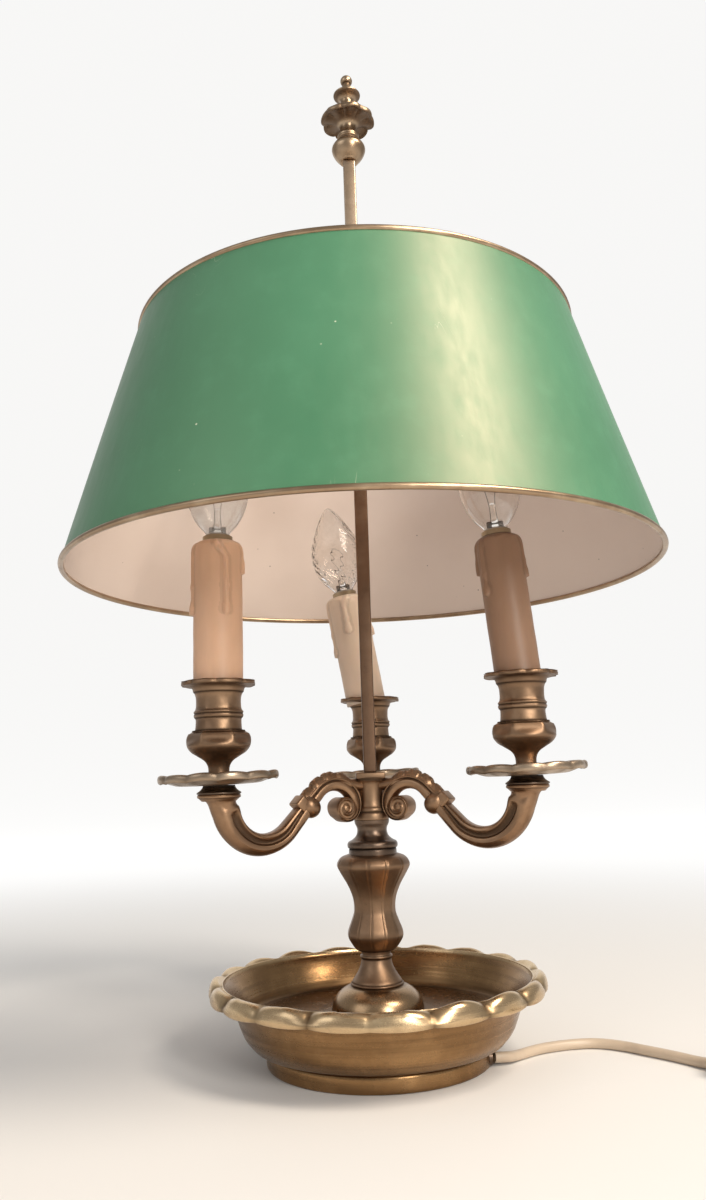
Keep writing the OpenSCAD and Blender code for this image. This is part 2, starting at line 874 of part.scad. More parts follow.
// ---- mains lead: route from the foot to the switch, then to the coil, then to the plug ----
lead_z = cord_r;
exit_dir = [cos(exit_az), sin(exit_az)];
lead_first = [[41, -8, 7.6], [46, -12.6, 6.6], [51.5, -17, 5.8],
    concat((foot_r - 4) * exit_dir, [exit_z]), concat((foot_r + 3) * exit_dir, [exit_z - 0.4]),
    [69, -19.4, 4], [75, -13.6, 3], [82, -7.6, lead_z], [90, -2.4, lead_z],
    [100, 1.6, lead_z], [110, 4, lead_z], [120.5, 4.4, lead_z], [129.5, 1.2, lead_z],
    [138, -5.2, lead_z], [145, -12.8, lead_z], [152, -20.4, lead_z], [159, -28.6, lead_z],
    [165.4, -37, lead_z]];
switch_at = [193, -74, 0];
switch_az = -52;
switch_l = 58;
switch_dir = [cos(switch_az), sin(switch_az)];
switch_in = [switch_at[0], switch_at[1]] - switch_l / 2 * switch_dir;
switch_out = [switch_at[0], switch_at[1]] + switch_l / 2 * switch_dir;
lead_in = concat(lead_first, [concat(switch_in - 6 * switch_dir, [lead_z + 0.8]),
    concat(switch_in, [lead_z + 1.6]), concat(switch_in + 6 * switch_dir, [lead_z + 1.6])]);
coil_entry_az = -100;
coil_out_r = coil_r + coil_wide * cord_r;
coil_in_r = coil_r - coil_wide * cord_r;
coil_h = coil_high * cord_d;
function around(az, r) = [coil_x + r * cos(az), coil_y + r * sin(az)];
lead_mid = [concat(switch_out - 6 * switch_dir, [lead_z + 1.6]),
    concat(switch_out, [lead_z + 1.6]), concat(switch_out + 6 * switch_dir, [lead_z + 0.6]),
    [219.8, -107.8, lead_z], [226, -113.4, lead_z], [233.4, -118.2, lead_z],
    [242, -121.8, lead_z], [251, -124.6, lead_z],
    concat(around(coil_entry_az, coil_out_r - cord_r), [lead_z])];
plug_at = [236, -29.6, 0];
plug_az = 180;
plug_l = 36;
plug_z = 6.8;
top_z = lead_z + cord_d;
lead_out = [concat(around(-24, coil_out_r - cord_r), [top_z]),
    concat(around(-8, coil_out_r - 0.8), [top_z - 0.8]), concat(around(6, coil_out_r + 2), [5.4]),
    concat(around(18, coil_out_r + 4.6), [3.2]), [312.6, -58.5, lead_z],
    [307, -46.8, lead_z], [298, -38, lead_z], [287, -31.8, lead_z], [278, -29.8, 3.4],
    [270, -29.4, 5.2], [262, -29.6, plug_z - 0.2], [252, -29.6, plug_z]];

sides = 8;
function unit(v) = v / norm(v);
function heading(p, i) = unit(knot(p, i + 1) - knot(p, i - 1));
function ring_at(c, dir) =
    let (across = unit(cross(dir, [0, 0, 1])), over = cross(across, dir))
    [for (s = [0 : sides - 1])
        c + cord_r / cos(180 / sides) * 0.98 * (across * cos((s + 0.5) * 360 / sides)
            + over * sin((s + 0.5) * 360 / sides))];
module sweep(route) {
    rings = len(route);
    points = [for (i = [0 : rings - 1], q = ring_at(route[i], heading(route, i))) q];
    skin = [for (i = [0 : rings - 2], s = [0 : sides - 1])
        let (a = i * sides + s, b = i * sides + (s + 1) % sides)
        [a, a + sides, b + sides, b]];
    polyhedron(points = points, convexity = 6,
        faces = concat([[for (s = [0 : sides - 1]) s]], skin,
            [[for (s = [sides - 1 : -1 : 0]) (rings - 1) * sides + s]]));
}

module mains_cord() {
    color(white_lead)
        union() {
            sweep(lead_in);
            sweep(lead_mid);
            sweep(lead_out);
        }
}

module cord_coil() {
    color(white_lead)
        translate([coil_x, coil_y, 0])
            rotate_extrude($fn = 72)
                difference() {
                    translate([coil_in_r, 0])
                        square([coil_out_r - coil_in_r, coil_h]);
                    translate([coil_in_r - 1, coil_h - 1.6])
                        rotate(45)
                            square([4, 4]);
                }
}

// ---- inline switch ----
switch_w = 24;
switch_h = 17;
split_z = 8;
rocker_l = 17;
rocker_w = 9;
rocker_z = 11.7;
rocker_tilt = 8;
module at_switch() {
    translate(switch_at)
        rotate(switch_az)
            children();
}

// Long rounded box, drawn from above
module switch_outline(l, w) {
    intersection() {
        square([l, w], center = true);
        union() {
            circle(d = l, $fn = 96);
            square([l - 16, w], center = true);
        }
    }
}

module switch_hole(l) {
    for (end = [-1, 1])
        translate([end * l / 2, 0, lead_z + 1.6])
            rotate([0, 90, 0])
                translate([0, 0, -9])
                    cylinder(r = cord_r + 0.3, h = 18);
}

module switch_base() {
    color(white_lead)
        at_switch()
            difference() {
                linear_extrude(split_z)
                    switch_outline(switch_l, switch_w);
                translate([0, 0, 1.6])
                    linear_extrude(split_z)
                        switch_outline(switch_l - 12, switch_w - 4);
                switch_hole(switch_l);
                for (end = [-1, 1])
                    translate([end * 20, end * 7, -1])
                        cylinder(r = 1.55, h = 20);
            }
}

module switch_lid() {
    color(white_lead)
        at_switch()
            difference() {
                translate([0, 0, split_z])
                    union() {
                        linear_extrude(switch_h - split_z - 3)
                            switch_outline(switch_l, switch_w);
                        linear_extrude(switch_h - split_z - 1.5)
                            switch_outline(switch_l - 4, switch_w - 3);
                        linear_extrude(switch_h - split_z)
                            switch_outline(switch_l - 8, switch_w - 6);
                    }
                translate([0, 0, split_z - 1])
                    linear_extrude(switch_h - split_z - 1.4)
                        switch_outline(switch_l - 16, switch_w - 6);
                translate([-rocker_l / 2 - 0.4, -rocker_w / 2 - 0.4, 0])
                    cube([rocker_l + 0.8, rocker_w + 0.8, 30]);
                for (end = [-1, 1])
                    translate([end * 20, end * 7, 0])
                        cylinder(r = 1.55, h = 30);
            }
}

module switch_rocker() {
    color(black_resin)
        at_switch()
            translate([0, 0, rocker_z])
                rotate([0, rocker_tilt, 0])
                    intersection() {
                        translate([-rocker_l / 2 + 0.3, -rocker_w / 2, -1.5])
                            cube([rocker_l - 0.6, rocker_w, 9]);
                        translate([0, rocker_w, 0])
                            rotate([90, 0, 0])
                                cylinder(r = 8.6, h = 2 * rocker_w, $fn = 64);
                    }
}

module switch_screws() {
    color(steel)
        at_switch()
            for (end = [-1, 1])
                translate([end * 20, end * 7, 0.6])
                    difference() {
                        cylinder(r = 1.5, h = 10);
                        translate([-2, -0.3, -1])
                            cube([4, 0.6, 1.8]);
                    }
}

// ---- plug ----
pin_r = 2;
pin_l = 19;
pin_gap = 18.6;
relief_l = 8;
module at_plug() {
    translate([plug_at[0], plug_at[1], plug_z])
        rotate(plug_az)
            children();
}

module plug_body() {
    color(white_lead)
        at_plug()
            rotate([0, 90, 0])
                difference() {
                    union() {
                        translate([0, 0, plug_l / 2 - 4])
                            linear_extrude(4)
                                plug_face(13.6, 26);
                        translate([0, 0, 2])
                            linear_extrude(plug_l / 2 - 6 + eps)
                                plug_face(12.6, 22);
                        translate([0, 0, -6])
                            linear_extrude(8 + eps)
                                plug_face(11.4, 17);
                        translate([0, 0, -plug_l / 2 - relief_l])
                            cylinder(r1 = 3.6, r2 = 5.6, h = relief_l + 13);
                    }
                    translate([0, 0, -plug_l / 2 - relief_l - 1])
                        cylinder(r = cord_r + 0.3, h = relief_l + 12);
                    for (side = [-1, 1])
                        translate([0, side * pin_gap / 2, plug_l / 2 - 8])
                            cylinder(r = pin_r, h = 20);
                }
}

module plug_face(h, w) {
    intersection() {
        square([h, w], center = true);
        circle(d = w + 1.6, $fn = 48);
    }
}

module plug_pins() {
    color(steel)
        at_plug()
            rotate([0, 90, 0])
                for (side = [-1, 1])
                    translate([0, side * pin_gap / 2, plug_l / 2 - 7.8])
                        union() {
                            cylinder(r = pin_r, h = 7.8 + pin_l - 1);
                            translate([0, 0, 7.8 + pin_l - 1])
                                cylinder(r1 = pin_r, r2 = 1.3, h = 1);
                        }
}

base_dish();
base_boss();
stem_ring();
baluster();
stem_collar();
arm_hub();
arm(arm_left_az);  // arm_left
arm(arm_right_az);  // arm_right
arm(arm_back_az);  // arm_back
drip_pan(0);  // drip_pan_left
drip_pan(1);  // drip_pan_right
drip_pan(2);  // drip_pan_back
candle_cup(0);  // candle_cup_left
candle_cup(1);  // candle_cup_right
candle_cup(2);  // candle_cup_back
pan_washers();
candle_nipples();
nipple_nuts();
lampholder(0);  // lampholder_left
lampholder(1);  // lampholder_right
lampholder(2);  // lampholder_back
holder_shells();
holder_contacts();
candle_sleeve(0);  // candle_sleeve_left
candle_sleeve(1);  // candle_sleeve_right
candle_sleeve(2);  // candle_sleeve_back
square_rod();
tie_rod();
tie_nut();
base_cover();
terminal_block();
terminal_screws();
cord_bush();
lamp_wires();
shade_skin();
shade_bead(rim_top);  // shade_top_bead
shade_bead(rim_low);  // shade_bottom_bead
shade_spider();
shade_collar();
clamp_screw();
finial_ball();
finial_crown();
bulb_glass(0);  // bulb_glass_left
bulb_glass(1);  // bulb_glass_right
bulb_glass(2);  // bulb_glass_back
bulb_cap(0);  // bulb_cap_left
bulb_cap(1);  // bulb_cap_right
bulb_cap(2);  // bulb_cap_back
bulb_filament(0);  // bulb_filament_left
bulb_filament(1);  // bulb_filament_right
bulb_filament(2);  // bulb_filament_back
mains_cord();
cord_coil();
switch_base();
switch_lid();
switch_rocker();
switch_screws();
plug_body();
plug_pins();
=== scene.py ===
import json
import math

import bpy
from mathutils import Matrix, Vector, noise


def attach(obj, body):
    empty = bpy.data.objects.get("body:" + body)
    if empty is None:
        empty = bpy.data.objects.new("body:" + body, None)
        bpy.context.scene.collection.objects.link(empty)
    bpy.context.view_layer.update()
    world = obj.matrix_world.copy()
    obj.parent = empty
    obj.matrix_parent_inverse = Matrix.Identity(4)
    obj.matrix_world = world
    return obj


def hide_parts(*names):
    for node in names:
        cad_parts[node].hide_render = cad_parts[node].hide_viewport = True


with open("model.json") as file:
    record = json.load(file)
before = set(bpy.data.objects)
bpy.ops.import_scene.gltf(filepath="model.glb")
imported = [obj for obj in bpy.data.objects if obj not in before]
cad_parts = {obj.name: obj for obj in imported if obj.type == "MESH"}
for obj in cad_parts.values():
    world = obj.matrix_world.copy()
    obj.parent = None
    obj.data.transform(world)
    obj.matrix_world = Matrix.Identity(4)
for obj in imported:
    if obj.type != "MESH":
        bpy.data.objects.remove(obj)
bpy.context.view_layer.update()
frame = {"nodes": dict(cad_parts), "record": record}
nodes = frame["nodes"]

# ---------------- sizes, in metres

MM = 0.001
FOOT_R = 63 * MM
BORE_R = 5.1 * MM
HUB_TOP_Z = 157.8 * MM
ROD_W, ROD_TOP_Z = 8 * MM, 558 * MM
REACH = 96 * MM
PAN_Z, FLANGE_Z = 153.4 * MM, 209 * MM
BEND_DEPTH = 17 * MM
SHADE_LOW = (178.8 * MM, 276.2 * MM)
SHADE_TOP = (136.1 * MM, 428.5 * MM)
BEAD_R, SHEET_T = 1.7 * MM, 0.7 * MM
LIP_LOBES, PAN_LOBES, FLANGE_LOBES, FINIAL_LEAVES = 19, 12, 8, 8

# Each candle: its arm's direction, the direction and angle of its lean, the sleeve's radius and length,
# and the length of the glass
CANDLES = {
    "left": (210, 180, 0, 13.6 * MM, 79 * MM, 73 * MM),
    "right": (330, 170, 5, 12.8 * MM, 79 * MM, 73 * MM),
    "back": (87, 180, 9.5, 13.6 * MM, 74.5 * MM, 62.5 * MM),
}

# ---------------- small sums


def ease(value, low, high):
    """0 below low, 1 above high and smooth between."""
    t = min(1.0, max(0.0, (value - low) / (high - low)))
    return t * t * (3 - 2 * t)


def ramp(value, low, high):
    """An ease whose limits are in millimetres."""
    return ease(value, low * MM, high * MM)


def near(value, place, within=1):
    """1 at a place and 0 at a distance from it, both in millimetres."""
    return 1 - abs(value - place * MM) / (within * MM)


def shares(count):
    """Even steps from 0 to just before 1."""
    return [i / count for i in range(count)]


def polar(co):
    """Distance from the Z axis, and direction in degrees."""
    return math.hypot(co.x, co.y), math.degrees(math.atan2(co.y, co.x))


def from_polar(radius, angle, z):
    angle = math.radians(angle)
    return Vector((radius * math.cos(angle), radius * math.sin(angle), z))


def rotation(degrees, axis="Z"):
    return Matrix.Rotation(math.radians(degrees), 4, axis)


def shift(place):
    return Matrix.Translation(place)


# ---------------- camera

CAMERA_AT = Vector((-21.084, -569.033, 154.775)) * MM
CAMERA_PITCH, CAMERA_ROLL, CAMERA_YAW = 10.6224, -1.8562, 1.4416
FOCAL_PIXELS, PICTURE_HEIGHT, SENSOR = 950, 1200, 36


def camera_turn(pitch, roll, yaw):
    """The camera's axes as a matrix, from its angles in degrees."""
    pitch, roll, yaw = math.radians(pitch), math.radians(roll), math.radians(yaw)
    ahead = Vector((math.sin(yaw) * math.cos(pitch), math.cos(yaw) * math.cos(pitch), math.sin(pitch)))
    side = Vector((math.cos(yaw), -math.sin(yaw), 0))
    above = side.cross(ahead)
    across = side * math.cos(roll) + above * math.sin(roll)
    up = above * math.cos(roll) - side * math.sin(roll)
    return Matrix((across, up, -ahead)).transposed()


def make_camera():
    """The camera that the lamp was measured with."""
    bpy.ops.object.camera_add(location=CAMERA_AT)
    camera = bpy.context.object
    camera.rotation_euler = camera_turn(CAMERA_PITCH, CAMERA_ROLL, CAMERA_YAW).to_euler()
    camera.data.sensor_width = SENSOR
    camera.data.lens = SENSOR * FOCAL_PIXELS / PICTURE_HEIGHT
    camera.data.clip_start = 0.01
    bpy.context.scene.camera = camera


make_camera()

# ---------------- mains lead

CORD_D = 5.5 * MM
CORD_R = CORD_D / 2
EXIT = from_polar(FOOT_R + 1.6 * MM, -20, 4.7 * MM)
SWITCH_AT = Vector((193, -74, 0)) * MM
SWITCH_ANGLE = -52
SWITCH_DIRECTION = from_polar(1, SWITCH_ANGLE, 0)
SWITCH_L = 58 * MM
PLUG_AT = Vector((236, -29.6, 6.8)) * MM
COIL_AT = Vector((268, -86, 0)) * MM
COIL_IN_R, COIL_OUT_R = 24.75 * MM, 41.25 * MM
COIL_FROM, COIL_TO, COIL_STEP = -100, -24, 12


def laid(*points):
    """Middles of the lead in metres; it lies on the floor where no height is given."""
    return [Vector((x, y, *(z or [CORD_R / MM]))) * MM for x, y, *z in points]


def smooth_path(points, steps=6):
    """Points on a Catmull-Rom curve through the given ones."""
    path = []
    for i in range(len(points) - 1):
        a, b = points[max(i - 1, 0)], points[i]
        c, d = points[i + 1], points[min(i + 2, len(points) - 1)]
        for t in shares(steps):
            bow, twist = (2 * a - 5 * b + 4 * c - d) * t * t, (3 * b - a - 3 * c + d) * t**3
            path.append(0.5 * (2 * b + (c - a) * t + bow + twist))
    path.append(points[-1])
    return path


def around_coil(angle, radius, z):
    return COIL_AT + from_polar(radius, angle, z)


def coil_turns():
    """In along the floor layer, up at the inner turn, and out along the top layer."""
    layer, climb = 3 * 360, 200
    width = COIL_OUT_R - COIL_IN_R
    above = CORD_R + CORD_D
    inner = COIL_FROM + layer
    outward = inner + climb
    last = layer + (COIL_TO - COIL_FROM - climb) % 360
    points = [
        around_coil(COIL_FROM + angle, COIL_OUT_R - width * angle / layer, CORD_R)
        for angle in range(0, layer, COIL_STEP)
    ]
    points += [
        around_coil(inner + angle, COIL_IN_R, CORD_R + CORD_D * ease(angle, 0, climb))
        for angle in range(0, climb, COIL_STEP)
    ]
    return points + [
        around_coil(outward + angle, COIL_IN_R + width * min(1, angle / layer), above)
        for angle in range(0, last + 1, COIL_STEP)
    ]


def cord_route():
    """Out of the foot, through the switch, round the coil and into the plug."""
    raised = Vector((0, 0, CORD_R + 1.6 * MM))
    half = SWITCH_DIRECTION * SWITCH_L / 2
    outside = SWITCH_DIRECTION * (SWITCH_L / 2 + 6 * MM)
    from_foot = laid(
        (69, -19.4, 4), (75, -13.6, 3), (82, -7.6), (90, -2.4), (100, 1.6), (110, 4), (120.5, 4.4),
        (129.5, 1.2), (138, -5.2), (145, -12.8), (152, -20.4), (159, -28.6), (165.4, -37),
    )
    through_switch = [
        SWITCH_AT - outside + Vector((0, 0, CORD_R + 0.8 * MM)),
        SWITCH_AT - half + raised, SWITCH_AT + raised, SWITCH_AT + half + raised,
        SWITCH_AT + outside + Vector((0, 0, CORD_R + 0.6 * MM)),
    ]
    to_coil = laid((219.8, -107.8), (226, -113.4), (233.4, -118.2), (242, -121.8), (251, -124.6))
    off_coil = [
        around_coil(angle, COIL_OUT_R + out * MM, z * MM)
        for angle, out, z in ((-8, 1.95, 7.45), (6, 4.75, 5.4), (18, 7.35, 3.2))
    ]
    to_plug = laid(
        (312.6, -58.5), (307, -46.8), (298, -38), (287, -31.8), (278, -29.8, 3.4), (270, -29.4, 5.2),
        (262, -29.6, 6.6), (252, -29.6, 6.8),
    )
    turns = coil_turns()
    first = smooth_path([EXIT] + from_foot + through_switch + to_coil + turns[:1])
    return first[:-1] + turns + smooth_path(turns[-1:] + off_coil + to_plug)[1:]


def make_cord():
    """A round sheathed flex as one curve, and its length."""
    route = cord_route()
    curve = bpy.data.curves.new("mains_lead", "CURVE")
    curve.dimensions = "3D"
    curve.bevel_depth = CORD_R
    curve.bevel_resolution = 5
    curve.use_fill_caps = True
    spline = curve.splines.new("POLY")
    spline.points.add(len(route) - 1)
    for point, place in zip(spline.points, route):
        point.co = (*place, 1)
    lead = bpy.data.objects.new("mains_lead", curve)
    bpy.context.scene.collection.objects.link(lead)
    length = sum((b - a).length for a, b in zip(route, route[1:]))
    return lead, length


mains_lead, LEAD_LENGTH = make_cord()
print("The lead is", LEAD_LENGTH, "m long")

# ---------------- shader maths


class Sock:
    """A shader value: an expression on it adds the nodes that work it out."""

    def __init__(self, sheet, link):
        self.sheet, self.link = sheet, link

    def _math(self, operation, a, b=0.0):
        return self.sheet.node("ShaderNodeMath", {"operation": operation}, {0: a, 1: b})

    def __add__(self, other):
        return self._math("ADD", self, other)

    __radd__ = __add__

    def __sub__(self, other):
        return self._math("SUBTRACT", self, other)

    def __rsub__(self, other):
        return self._math("SUBTRACT", other, self)

    def __mul__(self, other):
        return self._math("MULTIPLY", self, other)

    __rmul__ = __mul__

    def __pow__(self, other):
        return self._math("POWER", self, other)

    def absolute(self):
        return self._math("ABSOLUTE", self)

    def larger(self, other):
        return self._math("MAXIMUM", self, other)

    def clamped(self):
        return self.sheet.node("ShaderNodeClamp", {}, {"Value": self})

    def above(self, low, high):
        """0 below low, 1 over high, smooth between."""
        limits = {"Value": self, "From Min": low, "From Max": high}
        return self.sheet.node("ShaderNodeMapRange", {"interpolation_type": "SMOOTHSTEP"}, limits)

    def below(self, low, high):
        return 1 - self.above(low, high)


FINISHES = {}


class Finish:
    """One material, built node by node and kept in FINISHES by its name."""

    def __init__(self, name):
        FINISHES[name] = self.material = bpy.data.materials.new(name)
        self.material.use_nodes = True
        self.tree = self.material.node_tree
        self.shader = self.tree.nodes["Principled BSDF"]
        self.place = self.tree.nodes.new("ShaderNodeTexCoord").outputs["Object"]

    def node(self, kind, settings, inputs, output=0):
        """Adds a node with its settings and with the values or links of its sockets."""
        made = self.tree.nodes.new(kind)
        for key, value in settings.items():
            setattr(made, key, value)
        for key, value in inputs.items():
            self._feed(made.inputs[key], value)
        return Sock(self, made.outputs[output])

    def _feed(self, target, value):
        if isinstance(value, Sock):
            self.tree.links.new(value.link, target)
        elif isinstance(value, bpy.types.NodeSocket):
            self.tree.links.new(value, target)
        elif isinstance(value, (tuple, list)) and target.type == "RGBA":
            target.default_value = (*value, 1)
        else:
            target.default_value = value

    def axes(self):
        split = self.node("ShaderNodeSeparateXYZ", {}, {0: self.place})
        return [Sock(self, output) for output in split.link.node.outputs]

    def stretched(self, scale, turn=(0, 0, 0)):
        """Object coordinates, scaled by axis."""
        return self.node("ShaderNodeMapping", {}, {"Vector": self.place, "Rotation": turn, "Scale": scale})

    def noise(self, scale, detail=4.0, roughness=0.55, place=None, distortion=0.0):
        inputs = {"Vector": place or self.place, "Scale": scale, "Detail": detail}
        inputs |= {"Roughness": roughness, "Distortion": distortion}
        return self.node("ShaderNodeTexNoise", {}, inputs)

    def cells(self, scale):
        return self.node("ShaderNodeTexVoronoi", {}, {"Vector": self.place, "Scale": scale})

    def mix(self, mask, low, high):
        """The colour low where mask is 0 and high where it is 1."""
        return self.node("ShaderNodeMix", {"data_type": "RGBA"}, {0: mask, 6: low, 7: high}, output=2)

    def uneven(self, base, *swings):
        """A share round a base, moved by each noise times its swing."""
        for value, swing in swings:
            base = base + (value - 0.5) * swing
        return base.clamped()

    def attribute(self, name):
        return self.node("ShaderNodeAttribute", {"attribute_name": name}, {}, output=2)

    def bump(self, height, distance, strength=1.0):
        return self.node("ShaderNodeBump", {}, {"Height": height, "Distance": distance, "Strength": strength})

    def set(self, **values):
        """Feeds the shader's own inputs."""
        for key, value in values.items():
            self._feed(self.shader.inputs[key.replace("_", " ")], value)
        return self.material


# ---------------- finishes


def brass_finish(name, tone, dark, bright, rough, tarnish=0.5, fine=1.0, paler_zone=None, spun=0.0):
    """Old brass with fine scratches, lighter in a marked zone and with painted shade where the hollow mark is
    high.
    """
    f = Finish(name)
    cloud = f.noise(38, 5, 0.6)
    patch = f.noise(120, 6, 0.65, distortion=0.4)
    grain = f.noise(900, 3, 0.6)
    scratch = f.noise(260, 4, 0.7, place=f.stretched((1, 1, 9), (0.5, 0.3, 0.2)))
    hollow = f.attribute("hollow")
    worn = cloud.above(0.42, 0.68)
    stain = patch.above(0.46, 0.8) * tarnish
    color = f.mix(worn, tone, bright)
    streaks = f.noise(60, 5, 0.65, place=f.stretched((0.15, 0.15, 7))).above(0.42, 0.66) * spun
    color = f.mix(streaks, color, dark)
    if paler_zone:
        color = f.mix(f.attribute("paler_zone"), color, f.mix(worn, *paler_zone))
    color = f.mix((stain * 0.7).clamped(), color, dark)
    # Painted shade: the hollow mark darkens the colour in creases, grooves and under parts.
    color = f.mix((hollow * 0.9).clamped(), color, dark)
    speck = f.cells(420).below(0.04, 0.16) * patch.above(0.5, 0.62)
    color = f.mix(speck * 0.3, color, [c * 0.35 for c in dark])
    roughness = f.uneven(rough + (stain + hollow) * 0.22 + streaks * 0.2, (cloud, 0.16), (grain, 0.08))
    height = grain * 0.25 * fine + scratch * 0.5 * fine + patch * 0.4
    normal = f.bump(height, 0.0001, 0.35)
    return f.set(Base_Color=color, Roughness=roughness, Metallic=1.0 - stain * 0.25, Normal=normal)


def enamel_finish(name):
    """Satin green enamel with scratches, rubbed spots and a soft orange-peel surface."""
    f = Finish(name)
    z = f.axes()[2]
    broad = f.noise(9, 3, 0.5)
    mottle = f.noise(70, 5, 0.6)
    peel = f.noise(1100, 2, 0.5)
    brushed = f.noise(30, 4, 0.6, place=f.stretched((6, 6, 0.7)))
    color = f.mix(broad.above(0.35, 0.7), (0.038, 0.178, 0.09), (0.05, 0.205, 0.108))
    color = f.mix(mottle.above(0.45, 0.8) * 0.35, color, (0.064, 0.245, 0.135))
    scuff_net = f.noise(55, 3, 0.6, place=f.stretched((1, 1, 0.22), (0.2, 0.35, 0)), distortion=0.6)
    hair = (scuff_net - 0.5).absolute().below(0.0008, 0.0035)
    where = f.noise(17, 2, 0.5).above(0.6, 0.72)
    dots = f.cells(95).below(0.035, 0.07) * f.noise(24, 2, 0.5).above(0.58, 0.66)
    marks = (hair * where + dots).clamped()
    color = f.mix(marks * 0.75, color, (0.62, 0.66, 0.5))
    middle = (SHADE_LOW[1] + SHADE_TOP[1]) / 2
    edge = (z - middle).absolute().above(74.2 * MM, 76.4 * MM)
    chips = edge * f.noise(210, 4, 0.7).above(0.5, 0.6)
    color = f.mix(chips, color, (0.2, 0.13, 0.06))
    roughness = f.uneven(0.44 + (marks + chips) * 0.2, (brushed, 0.16), (mottle, 0.1))
    normal = f.bump(peel * 0.35 + mottle * 0.4 - marks * 0.5, 0.0001, 0.4)
    return f.set(
        Base_Color=color, Roughness=roughness, Normal=normal, Specular_IOR_Level=1.0,
        Specular_Tint=(1, 0.71, 0.54), Coat_Weight=0.15, Coat_Roughness=0.5
    )


def lining_finish(name):
    """Off-white paint inside the shade, slightly yellowed, with a few specks."""
    f = Finish(name)
    broad = f.noise(11, 4, 0.5)
    fine = f.noise(380, 4, 0.6)
    color = f.mix(broad.above(0.35, 0.75), (0.77, 0.655, 0.585), (0.71, 0.59, 0.52))
    speck = f.cells(110).below(0.03, 0.07) * f.noise(30, 2, 0.5).above(0.57, 0.63)
    color = f.mix(speck * 0.9, color, (0.12, 0.09, 0.06))
    roughness = f.uneven(0.5, (fine, 0.2))
    return f.set(Base_Color=color, Roughness=roughness, Normal=f.bump(fine * 0.5 + broad, 0.00015, 0.4))


def wax_finish(name, tone):
    """Candle card under wax, a little translucent."""
    f = Finish(name)
    broad = f.noise(45, 4, 0.55, place=f.stretched((1, 1, 0.45)))
    fine = f.noise(700, 4, 0.6)
    fibre = f.noise(160, 3, 0.6, place=f.stretched((1, 1, 0.12)))
    hollow = f.attribute("hollow")
    color = f.mix(broad.above(0.35, 0.7), tone, [c * 0.9 for c in tone])
    color = f.mix(fibre.above(0.5, 0.8) * 0.3, color, [c * 0.76 for c in tone])
    # Painted shade where the hollow mark is high: beside the wax runs and inside the bore.
    color = f.mix((hollow * 0.6).clamped(), color, [c * 0.5 for c in tone])
    roughness = f.uneven(0.46, (fine, 0.16), (broad, 0.1))
    normal = f.bump(fine * 0.35 + fibre * 0.4, 0.00012, 0.45)
    return f.set(
        Base_Color=color, Roughness=roughness, Normal=normal,
        Subsurface_Weight=0.12, Subsurface_Radius=(0.004, 0.002, 0.001), Subsurface_Scale=1.0,
    )


def glass_finish(name, haze=0.0):
    """Thin blown glass with a breath of dust, clear or a little milky."""
    f = Finish(name)
    dust = f.noise(160, 4, 0.6)
    roughness = (0.02 + haze * 0.5 + dust.above(0.5, 0.8) * 0.05).clamped()
    color = f.mix(dust.above(0.4, 0.8), (0.98, 0.975, 0.965), (0.93, 0.91, 0.88))
    return f.set(Base_Color=color, Roughness=roughness, Transmission_Weight=1.0 - haze, IOR=1.45)


def plated_finish(name, tone, rough):
    """Nickel or zinc plating with a fine drawn grain and dull patches."""
    f = Finish(name)
    drawn = f.noise(420, 3, 0.6, place=f.stretched((1, 1, 6)))
    dull = f.noise(90, 5, 0.6)
    color = f.mix(dull.above(0.4, 0.75), tone, [c * 0.72 for c in tone])
    roughness = f.uneven(rough, (dull, 0.2), (drawn, 0.12))
    return f.set(Base_Color=color, Roughness=roughness, Metallic=1.0, Normal=f.bump(drawn, 0.00006, 0.5))


def moulded_finish(name, tone, rough, grain=900):
    """Moulded plastic: a fine spark-eroded grain and slight handling marks."""
    f = Finish(name)
    fine = f.noise(grain, 3, 0.6)
    broad = f.noise(60, 4, 0.55)
    color = f.mix(broad.above(0.4, 0.75), tone, [c * 0.86 for c in tone])
    roughness = f.uneven(rough, (fine, 0.16), (broad, 0.12))
    return f.set(Base_Color=color, Roughness=roughness, Normal=f.bump(fine + broad * 0.5, 0.00006, 0.5))


def board_finish(name):
    """Dark pressed board with fibres and pale worn patches."""
    f = Finish(name)
    fibre = f.noise(500, 5, 0.7)
    broad = f.noise(40, 4, 0.6)
    color = f.mix(fibre.above(0.35, 0.7), (0.045, 0.06, 0.04), (0.09, 0.11, 0.08))
    color = f.mix(broad.above(0.5, 0.8) * 0.5, color, (0.14, 0.12, 0.09))
    roughness = f.uneven(0.85, (fibre, 0.2))
    return f.set(Base_Color=color, Roughness=roughness, Normal=f.bump(fibre, 0.0002, 0.8))


brass_finish(
    "dish_brass", (0.27, 0.155, 0.07), (0.075, 0.042, 0.02), (0.36, 0.215, 0.1), 0.24, 0.25,
    paler_zone=((0.6, 0.43, 0.25), (0.74, 0.56, 0.34)), spun=0.32,
)
brass_finish("polished_brass", (0.35, 0.23, 0.13), (0.11, 0.066, 0.038), (0.46, 0.32, 0.195), 0.27, 0.25)
brass_finish("aged_brass", (0.245, 0.152, 0.092), (0.055, 0.034, 0.022), (0.32, 0.207, 0.127), 0.42, 0.3)
brass_finish("arm_brass", (0.275, 0.165, 0.097), (0.045, 0.029, 0.02), (0.37, 0.23, 0.137), 0.38, 0.25)
brass_finish("dark_bronze", (0.13, 0.09, 0.066), (0.035, 0.026, 0.021), (0.2, 0.14, 0.1), 0.33, 0.6)
brass_finish("pan_brass", (0.38, 0.285, 0.2), (0.14, 0.1, 0.068), (0.49, 0.385, 0.285), 0.32, 0.25)
brass_finish(
    "rod_brass", (0.27, 0.165, 0.105), (0.09, 0.054, 0.035), (0.34, 0.22, 0.145), 0.36, 0.4, 1.6,
    paler_zone=((0.42, 0.31, 0.215), (0.5, 0.385, 0.28)),
)
